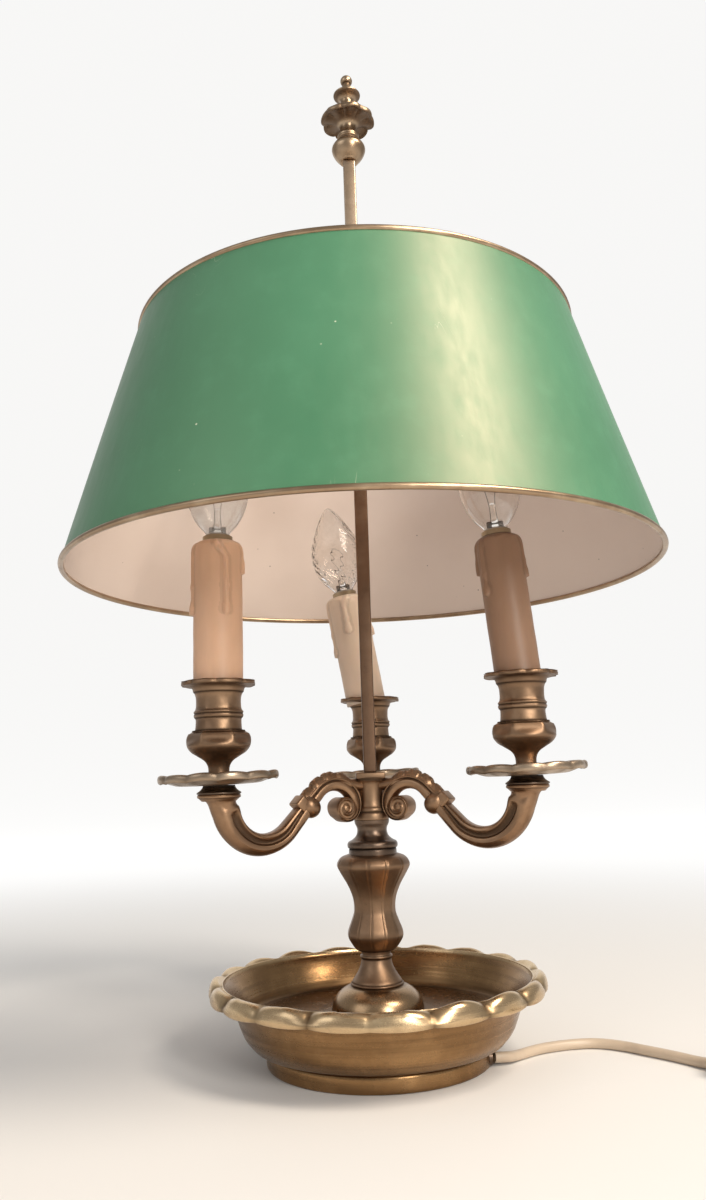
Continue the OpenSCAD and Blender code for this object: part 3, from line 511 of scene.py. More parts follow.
brass_finish("gilt_bead", (0.37, 0.255, 0.16), (0.085, 0.05, 0.032), (0.5, 0.37, 0.245), 0.32, 0.4)
plated_finish("plated_steel", (0.62, 0.6, 0.56), 0.3)
plated_finish("bulb_cap_metal", (0.5, 0.47, 0.42), 0.34)
plated_finish("plug_pin_metal", (0.72, 0.7, 0.65), 0.22)
plated_finish("filament_wire", (0.24, 0.2, 0.17), 0.45)
plated_finish("holder_brass", (0.46, 0.38, 0.26), 0.32)
moulded_finish("holder_resin", (0.03, 0.026, 0.023), 0.4)
moulded_finish("cream_plastic", (0.74, 0.7, 0.6), 0.36)
moulded_finish("dark_plastic", (0.035, 0.034, 0.033), 0.34)
moulded_finish("wire_sheath", (0.55, 0.44, 0.33), 0.4, 1400)
wax_finish("candle_card", (0.71, 0.44, 0.285))
# The darker card is the same card with painted shade, for the right sleeve.
wax_finish("tan_candle_card", (0.31, 0.18, 0.11))
wax_finish("cream_candle_card", (0.78, 0.6, 0.46))
enamel_finish("green_enamel")
lining_finish("lining_paint")
board_finish("base_board")
glass_finish("clear_glass")
glass_finish("milky_glass", 0.16)

for part in frame["record"]["subparts"]:
    slots = nodes[part["node"]].data.materials
    slots.clear()
    slots.append(FINISHES[part["material_slot"]])
nodes["square_rod"].data.materials[0] = FINISHES["rod_brass"]

# ---------------- modelling helpers

POLE_R = 0.03 * MM
FORWARDS, SIDEWAYS, UPWARDS = Vector((1, 0, 0)), Vector((0, 1, 0)), Vector((0, 0, 1))


def edit_mode():
    bpy.ops.object.mode_set(mode="EDIT")


def object_mode():
    bpy.ops.object.mode_set(mode="OBJECT")


def select_points(action="SELECT"):
    bpy.ops.mesh.select_all(action=action)


def extrude(step):
    bpy.ops.mesh.extrude_region_move(TRANSFORM_OT_translate={"value": step})


def deselect():
    bpy.ops.object.select_all(action="DESELECT")


def apply_transform():
    bpy.ops.object.transform_apply(location=True, rotation=True, scale=True)


def pick(obj):
    """Makes obj the only selected and active object."""
    deselect()
    bpy.context.view_layer.objects.active = obj
    obj.select_set(True)


def outline(*points, steps=5):
    """A smooth line in metres through (radius, height) in millimetres; a doubled point keeps an edge."""
    run = []
    for place in smooth_path([Vector((r, z, 0)) * MM for r, z in points], steps):
        if not run or math.hypot(place.x - run[-1][0], place.y - run[-1][1]) > 1e-6:
            run.append((max(place.x, 0.0), place.y))
    return run


def straight(*points):
    """A line with corners, in metres, through points in millimetres."""
    return [(r * MM, z * MM) for r, z in points]


def start_ring(name, sides, radius, height):
    """A circle about the Z axis, left in edit mode with all its points selected."""
    deselect()
    bpy.ops.mesh.primitive_circle_add(vertices=sides, radius=radius, location=(0, 0, height))
    apply_transform()
    obj = bpy.context.object
    obj.name = obj.data.name = name
    edit_mode()
    select_points()
    return obj


def select_ring(obj, sides, index):
    """In edit mode, selects one ring of a shape that was extruded ring by ring."""
    select_points("DESELECT")
    object_mode()
    for vertex in obj.data.vertices[index * sides : (index + 1) * sides]:
        vertex.select = True
    edit_mode()


def close_ends(obj, sides, rings, joined, poles):
    """Joins the first ring to the last, or gives each its own end: a point at a pole, a face elsewhere."""
    if joined:
        select_ring(obj, sides, 0)
        object_mode()
        for vertex in obj.data.vertices[(rings - 1) * sides :]:
            vertex.select = True
        edit_mode()
        bpy.ops.mesh.bridge_edge_loops()
    else:
        for index, pole in ((rings - 1, poles[1]), (0, poles[0])):
            select_ring(obj, sides, index)
            if pole:
                bpy.ops.mesh.merge(type="CENTER")
            else:
                bpy.ops.mesh.edge_face_add()
    select_points()
    bpy.ops.mesh.remove_doubles(threshold=1e-7)
    bpy.ops.mesh.normals_make_consistent(inside=False)
    object_mode()


def soften(obj, angle=35):
    """Shades smooth wherever faces meet at less than an angle."""
    pick(obj)
    bpy.ops.object.shade_smooth_by_angle(angle=math.radians(angle))


def turned(name, line, sides=96, joined=False, angle=35):
    """A turned piece: a circle extruded ring by ring along its outline."""
    ends = [radius < POLE_R for radius, z in (line[0], line[-1])]
    line = [(max(radius, POLE_R), z) for radius, z in line]
    last, height = line[0]
    obj = start_ring(name, sides, last, height)
    for radius, z in line[1:]:
        extrude((0, 0, z - height))
        bpy.ops.transform.resize(value=(radius / last, radius / last, 1), center_override=(0, 0, z))
        last, height = radius, z
    close_ends(obj, sides, len(line), joined, ends)
    soften(obj, angle)
    return obj


def bored(name, line, sides=96, bore=BORE_R):
    """A turned piece with a straight bore from end to end."""
    return turned(name, line + [(bore, line[-1][1]), (bore, line[0][1])], sides, joined=True)


def swept(name, stations, sides, angle=35):
    """A ring extruded from station to station, each with its centre, directions across and section."""
    obj = start_ring(name, sides, 1 * MM, 0)
    at = Vector((0, 0, 0))
    for centre, over, aside, section in stations[1:]:
        extrude(centre - at)
        at = centre
    object_mode()
    points = iter(obj.data.vertices)
    for centre, over, aside, section in stations:
        for up, side in section:
            next(points).co = centre + over * up + aside * side
    edit_mode()
    close_ends(obj, sides, len(stations), False, (False, False))
    soften(obj, angle)
    return obj


def oval(height, width, sides):
    """A ring of (up, aside) places."""
    turns = [2 * math.pi * i / sides for i in range(sides)]
    return [(height * math.cos(t), width * math.sin(t)) for t in turns]


def rod_along(name, path, radius, sides=8):
    """A round wire through points."""
    stations = []
    section = oval(radius, radius, sides)
    over = UPWARDS
    for i, centre in enumerate(path):
        along = (path[min(i + 1, len(path) - 1)] - path[max(i - 1, 0)]).normalized()
        if abs(along.dot(over)) > 0.95:
            over = FORWARDS
        aside = along.cross(over).normalized()
        over = aside.cross(along).normalized()
        stations.append((centre, over, aside, section))
    return swept(name, stations, sides)


def block(name, size, place, bevel, segments=3):
    """A cube at its size and place, with its edges rounded in edit mode."""
    deselect()
    bpy.ops.mesh.primitive_cube_add(size=1, location=place)
    obj = bpy.context.object
    obj.name = obj.data.name = name
    obj.scale = size
    apply_transform()
    edit_mode()
    select_points()
    bpy.ops.mesh.bevel(offset=bevel, segments=segments, affect="EDGES")
    object_mode()
    soften(obj)
    return obj


def move_points(obj, rule):
    """Pushes each point of a finished mesh by a rule on its place."""
    for vertex in obj.data.vertices:
        vertex.co = rule(vertex.co.copy())
    obj.data.update()


def copied(obj, name, place):
    """A copy with a mesh of its own, moved there by a matrix."""
    twin = obj.copy()
    twin.data = obj.data.copy()
    twin.name = twin.data.name = name
    bpy.context.scene.collection.objects.link(twin)
    twin.data.transform(place)
    twin.data.update()
    return twin


def remove(obj):
    deselect()
    bpy.data.objects.remove(obj)


def joined_as(name, *pieces):
    """One object from several."""
    pick(pieces[0])
    for piece in pieces[1:]:
        piece.select_set(True)
    bpy.ops.object.join()
    pieces[0].name = pieces[0].data.name = name
    return pieces[0]


def mark(obj, rule, name="hollow"):
    """Stores a share from 0 to 1 at each point for its finish: how much painted shade it gets, or how far it
    lies in the paler zone.
    """
    layer = obj.data.attributes.new(name, "FLOAT", "POINT")
    for vertex, value in zip(obj.data.vertices, layer.data):
        value.value = min(1.0, max(0.0, rule(vertex.co)))


def settle(obj, finish, *replaced, body="lamp", slot=None):
    """Gives a finished piece its finish, its body and the CAD nodes that it stands for."""
    finishes = [finish] if isinstance(finish, str) else finish
    obj.data.materials.clear()
    for name in finishes:
        obj.data.materials.append(FINISHES[name])
    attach(obj, body)
    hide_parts(*replaced)


def candle_place(name):
    """From the Z axis to a candle's upright axis, turned so that +X points along its arm."""
    arm = CANDLES[name][0]
    return rotation(arm) @ shift((REACH, 0, 0))


def leaning_place(name):
    """Takes a piece made about the Z axis, with the flange's level at 0, to a candle's leaning axis."""
    arm, toward, lean = CANDLES[name][:3]
    tilt = rotation(toward) @ rotation(lean, "Y") @ rotation(-toward)
    pivot = from_polar(REACH, arm, FLANGE_Z - BEND_DEPTH)
    return shift(pivot) @ tilt @ shift((0, 0, BEND_DEPTH))


# ---------------- dish

LOBE_SIDES = 16
CREASE_STRENGTH = [1, 1, 1, 0.8, 1, 0.9, 1, 1, 0.9, 1, 0.8, 1, 0.6, 1, 0.3, 0.9, 1, 1, 0.9]
PROUD_LOBES = {15: 1.3, 16: 0.9, 17: 0.4, 13: -0.3, 4: 0.5, 6: 0.6, 9: 0.5}


def lobe(angle, lobes, start=0.0):
    """How far a point is into a lobe, 0 in the crease to 1 in the middle, and which crease is nearest."""
    phase = (angle - start) / 360 * lobes
    return abs(math.sin(math.pi * phase)) ** 0.7, round(phase) % lobes


def make_dish():
    """A spun dish whose rolled lip is hammered into soft pillows, with sharp creases between them."""
    outside = outline(
        (61.8, 0), (63, 1.4), (63, 7.3), (62.2, 9.1), (62.2, 9.1), (65.6, 10.6), (69.8, 11.3), (72.4, 13.6),
        (75.2, 17), (77.3, 21.5), (79.4, 27), (82.4, 33.8), (86, 39),
    )
    lip = outline(
        (86, 39), (89, 41.8), (91.4, 41), (92.9, 37.6), (94, 37.3), (94.6, 39.4), (93.9, 42.4),
        (91.7, 44.5), (89.2, 44.8), (87.9, 44.2), (87.6, 44.6), (87, 44.5), (86.8, 43.8),
    )
    inside = outline(
        (86.2, 42.4), (83.8, 39.4), (80.4, 33.8), (77.5, 28.4), (75.7, 25), (72.3, 24), (60, 23.9),
        (40, 24), (20, 24)
    )
    under = straight(
        (5.1, 24), (5.1, 21.8), (74.5, 21.8), (70.5, 15), (68.2, 12.7), (60.8, 10.7), (60.8, 0.6), (61.2, 0)
    )
    dish = turned("scalloped_dish", outside + lip[1:] + inside + under, LOBE_SIDES * LIP_LOBES, joined=True)

    def hammered(co):
        radius, angle = polar(co)
        rise, crease = lobe(angle, LIP_LOBES)
        hollow = (1 - rise) * CREASE_STRENGTH[crease]
        over_lip = ramp(radius, 86.6, 91) * ramp(co.z, 33, 36)
        wave = noise.noise(co * 26) * 0.3 * MM * ramp(radius, 40, 62) * ramp(co.z, 8, 14)
        hem = 1 - ramp(co.z, 38, 42)
        crown = over_lip * ramp(co.z, 40, 44) * ramp(radius, 87.6, 89.5)
        proud = PROUD_LOBES.get(math.floor(angle / 360 * LIP_LOBES) % LIP_LOBES, 0) * rise**2
        radius += wave + (0.4 * rise - 2 * hollow * (1 - 0.7 * hem)) * MM * over_lip
        z = co.z + (1.5 * rise * (0.5 + 0.5 * CREASE_STRENGTH[crease]) + proud - 1.6 * hollow) * MM * crown
        z += (0.7 * hollow - 0.2 * rise) * MM * over_lip * hem
        z += noise.noise(from_polar(1.7, angle, 4)) * 0.8 * MM * over_lip
        return from_polar(radius, angle, z)

    # Painted shade in the foot's groove, in the lip's creases, round the boss and at the foot of the inner
    # wall.
    def painted_groove_shade(co):
        radius, angle = polar(co)
        rise, crease = lobe(angle, LIP_LOBES)
        at_groove = near(co.z, 10, 2)
        at_crease = ((1 - rise) * 1.2 - 0.35) * CREASE_STRENGTH[crease] if radius > 87.4 * MM else 0
        at_boss = near(radius, 27, 7) if co.z > 22 * MM else 0
        at_wall = 0.7 * near(radius, 75, 5) if 23 * MM < co.z < 29 * MM else 0
        return max(at_groove if radius > 55 * MM else 0, at_crease, at_boss, at_wall)

    def paler_zone(co):
        """The lip is lighter in tone than the walls."""
        radius, angle = polar(co)
        return ramp(radius, 86, 87.2) * ramp(co.z, 34, 36)

    mark(dish, painted_groove_shade)
    mark(dish, paler_zone, "paler_zone")
    move_points(dish, hammered)
    settle(dish, "dish_brass", "base_dish", slot="polished_brass")


# ---------------- stem


def make_plain(name, node, finish, dark, *points):
    """A turned and bored piece; dark gives its painted shade at a height."""
    piece = bored(name, outline(*points))
    mark(piece, lambda co: dark(co.z))
    settle(piece, finish, node)


BALUSTER_PANELS, PANEL_SIDES = 12, 14
CREASE_FACING = -101


def make_baluster():
    """Twelve nearly flat panels meet in sharp upright creases, which fade out at both ends."""
    line = outline(
        (8.8, 58), (10.4, 58.6), (12.8, 60.6), (15.7, 65), (15.9, 69), (13.8, 74.6), (12.1, 80), (12.6, 87),
        (15.3, 94), (19.3, 100.8), (21.4, 105), (20.6, 108), (18.2, 110.2), (14.8, 111.4), steps=6,
    )
    body = bored("panelled_baluster", line, BALUSTER_PANELS * PANEL_SIDES)

    def depth(co):
        radius, angle = polar(co)
        phase = (angle - CREASE_FACING) / 360 * BALUSTER_PANELS
        across = abs(2 * (phase - math.floor(phase) - 0.5))
        present = ramp(co.z, 58.6, 63) * (1 - ramp(co.z, 107.5, 111)) * ramp(radius, 7, 10)
        return across, present

    def carved(co):
        radius, angle = polar(co)
        across, present = depth(co)
        cut = 0.024 * radius * (1 - across**2) + 0.05 * radius * across**18
        return from_polar(radius - cut * present, angle, co.z)

    # Painted shade in the creases between the panels, and a dark line where the baluster meets the ring.
    mark(body, lambda co: 0.8 * depth(co)[0] ** 16 * depth(co)[1] + near(co.z, 58.8))
    move_points(body, carved)
    settle(body, "aged_brass", "baluster")


def make_hub():
    """The waisted middle that carries the arms, with its square plinth."""
    line = outline(
        (9.9, 130.6), (10.2, 131.4), (10.1, 133.8), (9.5, 135), (9.2, 135.3), (9.2, 135.3), (9.5, 136.2),
        (9.3, 137.3), (8.5, 138.8), (8, 142), (8.1, 148), (8.9, 151.5), (10, 153.2), (10.4, 154.4),
    )
    waist = bored("hub_waist", line, 72, 3.5 * MM)
    plinth = block("hub_plinth", (17 * MM, 17 * MM, 3.6 * MM), (0, 0, 156 * MM), 0.7 * MM)
    hub = joined_as("arm_hub_cast", waist, plinth)
    # Painted shade in the waist's step and under the plinth.
    mark(hub, lambda co: max(near(co.z, 135.3), near(co.z, 153.8, 1.4)))
    settle(hub, "aged_brass", "arm_hub")


make_dish()
# Painted shade where the boss meets the stem ring and the dish's floor.
make_plain(
    "floor_boss", "base_boss", "polished_brass", lambda z: max(near(z, 40), near(z, 24, 1.4)),
    (25.6, 24), (26, 25.6), (25.9, 28), (25, 31.4), (23.4, 34.4), (20.8, 37), (17.8, 38.8), (15.4, 39.6),
    (14.6, 40),
)
# Painted shade in the stem ring's steps.
make_plain(
    "stem_ring_turned", "stem_ring", "aged_brass", lambda z: max(near(z, 54.2), near(z, 41.4) - 0.4),
    (14.6, 40), (15.1, 40.3), (15, 40.9), (14.2, 41.4), (14.2, 41.4), (13.9, 42.4), (12, 45), (10.2, 48),
    (9, 51), (8.4, 54.2), (8.4, 54.2), (9, 54.6), (9.2, 55.3), (8.8, 56), (8.2, 56.2), (8.3, 58),
)
make_baluster()
# Painted shade in the collar's step, with a slight darkening all over.
make_plain(
    "stem_collar_turned", "stem_collar", "dark_bronze", lambda z: near(z, 114.6, 0.9) + 0.1,
    (13.9, 111.4), (13.8, 114), (13.4, 114.6), (13.4, 114.6), (14.4, 115.4), (14.6, 117), (14, 118.4),
    (12.6, 119.2), (12.6, 119.2), (11.8, 119.6), (9.6, 121.6), (8.7, 124), (8.8, 126.4), (9.9, 128.8),
    (10.2, 130.6),
)
make_hub()

# ---------------- arms

HIGH_C = Vector((25.5, 138)) * MM
LOW_C = Vector((70.5, 143)) * MM
HIGH_R, LOW_R = 13.9 * MM, 22.2 * MM
SCROLL_C = Vector((20.2, 138.1)) * MM
SCROLL_R = 6.2 * MM
SECTION_SIDES = 32
BOWL_TO = -14
LIP_FLOOR_Z = 147 * MM

# Stations in each stretch of the arm, from the scroll to the cup, and the station of the cuff
CURL, ARCH, RUN, BOWL, NECK = 14, 24, 12, 26, 12
CUFF = CURL + ARCH + 4

# Halves of the arm's section, from the middle of its upper edge to the middle of its lower one, as shares
# of half its height and half its width: a bead, a channel and a broad round back
CREST = (
    (1, 0), (0.98, 0.42), (0.94, 0.72), (0.87, 0.88), (0.76, 0.93), (0.66, 0.9), (0.6, 0.8), (0.55, 0.73),
    (0.49, 0.72), (0.43, 0.76), (0.36, 0.86), (0.26, 0.95), (0.06, 1), (-0.3, 1), (-0.66, 0.84),
    (-0.88, 0.5), (-1, 0),
)
BEND = (
    (1, 0), (0.98, 0.42), (0.92, 0.74), (0.8, 0.9), (0.62, 0.95), (0.5, 0.9), (0.4, 0.77), (0.3, 0.68),
    (0.18, 0.65), (0.06, 0.69), (-0.02, 0.82), (-0.1, 0.95), (-0.24, 1), (-0.44, 1), (-0.68, 0.84),
    (-0.88, 0.5), (-1, 0),
)
SPOON = (
    (1, 0), (0.98, 0.36), (0.95, 0.62), (0.88, 0.79), (0.78, 0.87), (0.7, 0.84), (0.6, 0.7), (0.48, 0.6),
    (0.34, 0.57), (0.2, 0.62), (0.1, 0.8), (0.02, 0.95), (-0.14, 1), (-0.4, 1), (-0.66, 0.84), (-0.88, 0.5),
    (-1, 0),
)
ROUNDED = ((0.7, 0.92), (0.6, 0.95), (0.48, 0.97), (0.34, 0.99), (0.2, 1), (0.1, 1), (0.02, 1))
FILLED = SPOON[:5] + ROUNDED + SPOON[12:]
PLAIN = oval(1, 1, SECTION_SIDES)[: SECTION_SIDES // 2 + 1]
# Painted shade across each half section, darkest in the channel.
PAINTED_CHANNEL_SHADE = (0, 0, 0, 0, 0.05, 0.3, 0.65, 0.85, 0.85, 0.55, 0.2, 0, 0, 0, 0, 0, 0)


def between(first, second, share):
    """A section that is part one shape and part another."""
    return [(a + (c - a) * share, b + (d - b) * share) for (a, b), (c, d) in zip(first, second)]


def whole_section(half, height, width):
    """Both sides of a section, at its size."""
    half = [(height * up, width * side) for up, side in half]
    return half + [(up, -side) for up, side in half[-2:0:-1]]


def around(centre, radius, degrees):
    """A place on a circle in the arm's own plane."""
    angle = math.radians(degrees)
    return centre + radius * Vector((math.cos(angle), math.sin(angle)))


def arm_line():
    """The arm's middle line in its own plane, from scroll to cup: place, half height and half width."""
    slope = math.atan2(*(LOW_C - HIGH_C).yx) - math.asin((HIGH_R + LOW_R) / (LOW_C - HIGH_C).length)
    cross = math.degrees(slope) + 90
    line = []
    for t in shares(CURL):
        reach = SCROLL_R + (-0.5 + 2.8 * t**1.2) * MM
        line.append((around(SCROLL_C, reach, 318 - 138 * t), (0.6 + 1.8 * t) * MM, (5.5 - 0.7 * t) * MM))
    for t in shares(ARCH):
        place = around(HIGH_C, HIGH_R, 180 + (cross - 180) * t)
        line.append((place, (2.2 + 1.6 * ease(t, -0.06, 0.24) + 0.2 * t) * MM, 4.8 * MM))
    start = around(HIGH_C, HIGH_R, cross)
    end = around(LOW_C, LOW_R, cross + 180)
    for t in shares(RUN):
        line.append((start.lerp(end, t), (4 + 1.2 * t) * MM, (4.8 + 0.3 * t) * MM))
    for t in shares(BOWL):
        angle = (cross - 180) * (1 - t) + BOWL_TO * t
        line.append((around(LOW_C, LOW_R, angle), (5.2 + 2.1 * t) * MM, (5.1 + 1.7 * t) * MM))
    low = around(LOW_C, LOW_R, BOWL_TO)
    for t in shares(NECK) + [1]:
        place = Vector((low.x + (REACH - low.x) * t**1.1, low.y + (LIP_FLOOR_Z - low.y) * t))
        line.append((place, (7.3 + 0.4 * t + 2.7 * t**6) * MM, (6.8 + 0.4 * t + 3.2 * t**6) * MM))
    return line


def arm_point(place):
    """From the arm's own plane to the space about the stem, with the arm along +X."""
    return Vector((place.x, 0, place.y))


def arm_frames(line):
    """Each place of a line with the directions across it, which turn level under the lip."""
    for i, (place, height, width) in enumerate(line):
        ahead = (line[min(i + 1, len(line) - 1)][0] - line[max(i - 1, 0)][0]).normalized()
        ahead = ahead.lerp(Vector((0, 1)), ramp(place.y, 138, 144) * (place.x > 80 * MM)).normalized()
        yield arm_point(place), ahead, Vector((-ahead.y, 0, ahead.x)), height, width


def arm_tube():
    """The channels start in the scroll, widen along the bend and end in a round spoon under the lip."""
    line = arm_line()
    spoon = len(line) - NECK - 3
    stations = []
    painted_shades = []
    for i, (place, ahead, over, height, width) in enumerate(arm_frames(line)):
        cut = ease(i, 1, 6) * (1 - ease(i, spoon, spoon + 4))
        half = between(between(CREST, BEND, ease(i, CUFF, CUFF + 10)), SPOON, ease(i, spoon - 16, spoon - 2))
        filled = between(FILLED, PLAIN, ease(i, spoon + 4, len(line) - 3)) if i > CUFF else PLAIN
        section = whole_section(between(filled, half, cut), height, width)
        stations.append((place, over, SIDEWAYS, section))
        # Painted shade in the channels, fading where the channels fade.
        painted_shades += [cut * share for share in PAINTED_CHANNEL_SHADE + PAINTED_CHANNEL_SHADE[-2:0:-1]]
    tube = swept("arm_tube", stations, SECTION_SIDES, 30)
    painted_shades = iter(painted_shades)
    mark(tube, lambda co: next(painted_shades))
    return tube


LEAF_LOBES = (0, 0.24, 0.46, 0.66, 0.84, 1.01)
LEAF_SIDES = 36


def leaf_tooth(t):
    """Where a place on the leaf lies in its lobe: it swells along the lobe and drops at its tip."""
    t = min(1.0, max(0.0, t))
    index = max(i for i, start in enumerate(LEAF_LOBES[:-1]) if t >= start)
    share = (t - LEAF_LOBES[index]) / (LEAF_LOBES[index + 1] - LEAF_LOBES[index])
    return ease(share, -0.5, 0.75) * (1 - ease(share, 0.8, 1))


def leaf_on_arm():
    """A narrow leaf laid along the crest: overlapping lobes that point outwards."""
    line = arm_line()[CURL + 3 : CUFF + 1]
    fine = []
    for (place, height, width), after in zip(line, line[1:]):
        fine += [(place.lerp(after[0], t), height, width) for t in shares(6)]
    stations = []
    for i, (place, ahead, over, height, width) in enumerate(arm_frames(fine)):
        t = i / (len(fine) - 1)
        half = width * (0.42 + 0.4 * ease(t, 0, 0.5)) * (0.86 + 0.2 * leaf_tooth(t - 0.03))
        section = []
        for up, across in oval(1, 1, LEAF_SIDES):
            drape = -0.3 * height * abs(across) ** 2.4
            vein = 0.3 * math.cos(2 * math.pi * (11 * t - 1.1 * abs(across))) * ease(t, 0.3, 0.5)
            lift = 1.6 + 1.7 * leaf_tooth(t - 0.07 * abs(across)) + vein
            lift *= ease(t, -0.1, 0.2) * (1 - 0.25 * across**2)
            section.append((drape + (lift * up if up > 0 else 1.4 * up) * MM, half * across))
        stations.append((place + over * height, over, SIDEWAYS, section))
    return swept("arm_leaf", stations, LEAF_SIDES, 50)


def cuff_on_arm():
    """Where the leaf ends: a squared block above and a round swelling below."""
    place, ahead, over, height, width = list(arm_frames(arm_line()))[CUFF]
    turn = Matrix((arm_point(ahead), SIDEWAYS, over)).transposed().to_4x4()
    cap = block("cuff_block", (7.2 * MM, 10.4 * MM, 7 * MM), (3 * MM, 0, 4.3 * MM), 1.1 * MM, 4)
    half = [(0, 5.7), (2.9, 5.4), (5.4, 4), (6.7, 2), (7.1, 0)]
    ball = turned("cuff_ball", outline(*[(r, -z) for r, z in half], *half[-2::-1], steps=3), 48)
    ball.data.transform(shift((0.4 * MM, 0, -0.9 * MM)) @ rotation(90, "Y"))
    cuff = joined_as("arm_cuff", ball, cap)
    cuff.data.transform(shift(place) @ turn)
    return cuff


def arm_tip():
    """The thin round lip that carries the drip pan."""
    line = outline(
        (9.2, 145), (10.3, 146), (10.9, 146.6), (10.9, 146.6), (11.5, 146.9), (11.7, 147.7), (11.4, 148.4),
        (10.8, 148.6), (10.8, 148.6), (9, 148.6),
    )
    tip = bored("arm_tip", line, 64)
    # Painted shade in the step under the lip.
    mark(tip, lambda co: 0.6 * near(co.z, 146.6, 0.5))
    tip.data.transform(shift((REACH, 0, 0)))
    return tip


SCROLL_HALF_W = 5.9 * MM


def scroll_drum():
    """The rolled end of the arm, with one turn of the roll in relief on both faces and a round eye."""
    radius, width = SCROLL_R / MM, SCROLL_HALF_W / MM
    half = [(0.2 * i, width) for i in range(1, 29)]
    half += [(radius - 0.4, width), (radius - 0.1, width - 0.25), (radius, width - 0.7), (radius, 0)]
    line = straight(*[(r, -z) for r, z in half], *half[-2::-1])
    drum = turned("scroll_drum", line, 96)

    def depth(co):
        reach, angle = polar(co)
        turns = (reach / MM - 2.3) / 3.8 + angle / 360
        groove = (0.5 + 0.5 * math.cos(2 * math.pi * turns)) ** 2
        return groove * ramp(reach, 1.8, 2.4) * (1 - ramp(reach, 5.5, 6))

    def rolled(co):
        if abs(co.z) < SCROLL_HALF_W * 0.9:
            return co
        dome = math.sqrt(max(0.0, 1 - (polar(co)[0] / (2.1 * MM)) ** 2))
        return Vector((co.x, co.y, co.z + math.copysign((dome - 1.3 * depth(co)) * MM, co.z)))

    # Painted shade in the spiral groove on both faces.
    mark(drum, lambda co: 0.5 * depth(co) * (abs(co.z) > SCROLL_HALF_W * 0.9))
    move_points(drum, rolled)
    drum.data.transform(shift(arm_point(SCROLL_C)) @ rotation(90, "X"))
    return drum


def arm_shoulder():
    """The level stretch that ties the crest to the hub, under the plinth."""
    stations = []
    for reach, z, height, width in (
        (2, 150.4, 3.2, 3.9), (8, 150.6, 3.2, 4), (13, 151.2, 3.1, 4.1), (18, 151.9, 3.1, 4.2),
        (24, 152.3, 2.6, 4.1)
    ):
        section = whole_section(PLAIN, height * MM, width * MM)
        stations.append((Vector((reach, 0, z)) * MM, UPWARDS, SIDEWAYS, section))
    return swept("arm_shoulder", stations, SECTION_SIDES, 30)


def make_arms():
    pieces = (arm_tube(), leaf_on_arm(), cuff_on_arm(), arm_tip(), scroll_drum(), arm_shoulder())
    arm = joined_as("arm_cast", *pieces)
    for name, (angle, *rest) in CANDLES.items():
        shaped = copied(arm, "cast_arm_" + name, rotation(angle))
        settle(shaped, "arm_brass", "arm_" + name, slot="aged_brass")
    remove(arm)


def make_washers():
    """A dark turned ring, dished like a cone, under each drip pan."""
    line = outline(
        (11.3, 148.6), (11.9, 149), (11.9, 149.6), (11.9, 149.6), (10.8, 150.3), (9.7, 151.2), (8.8, 152.4),
        (8.6, 153.4)
    )
    washer = bored("dished_washer", line)
    # Painted shade under the drip pan, darker towards the top.
    mark(washer, lambda co: ramp(co.z, 150.5, 153))
    rings = [copied(washer, "dished_washer_" + name, candle_place(name)) for name in CANDLES]
    remove(washer)
    settle(joined_as("dished_washers", *rings), "dark_bronze", "pan_washers")


make_washers()
make_arms()

# ---------------- drip pans and cups


PAN_TILT = 1.4


def make_pans():
    """Twelve soft lobes, rolled over and down at the rim."""
    top = outline(
        (12, 0.9), (20, 2), (25.6, 4.2), (28.8, 5.9), (30.8, 6.4), (32.1, 5.9), (32.6, 4.6), (32.5, 3),
        (31.8, 2.2), (30.4, 2.5), (28.4, 2.6), (25.6, 1.6), (21, 0.4), (12, 0),
    )
    line = [(BORE_R, 0.9 * MM)] + top + [(BORE_R, 0)]
    pan = turned("drip_pan", line, LOBE_SIDES * PAN_LOBES, joined=True)

    def fluted(co):
        radius, angle = polar(co)
        rise, crease = lobe(angle, PAN_LOBES, 5)
        out = ramp(radius, 18, 30)
        droop = noise.noise(from_polar(0.4, angle, 0) * 2.5) * 0.6 * MM * out
        z = co.z + (rise - 0.75) * 0.75 * MM * out + droop
        return from_polar(radius - 0.9 * MM * (1 - rise) * out, angle, z)

    # Painted shade in the creases between the lobes and round the middle, under the cup.
    def painted_crease_shade(co):
        radius, angle = polar(co)
        rise, crease = lobe(angle, PAN_LOBES, 5)
        return 0.7 * (1 - rise) * ramp(radius, 18, 26) + 1 - ramp(radius, 8, 14)

    mark(pan, painted_crease_shade)
    move_points(pan, fluted)
    for name, (angle, *rest) in CANDLES.items():
        place = shift(from_polar(REACH, angle, PAN_Z)) @ rotation(-PAN_TILT, "Y") @ rotation(angle)
        shaped = copied(pan, "lobed_pan_" + name, place)
        settle(shaped, "pan_brass", "drip_pan_" + name, slot="polished_brass")
    remove(pan)


def hexagon(angle):
    """The radius of a six-sided outline at an angle, as a share of its corners' radius."""
    phase = (angle + 30) % 60 - 30
    return math.cos(math.radians(30)) / math.cos(math.radians(phase))


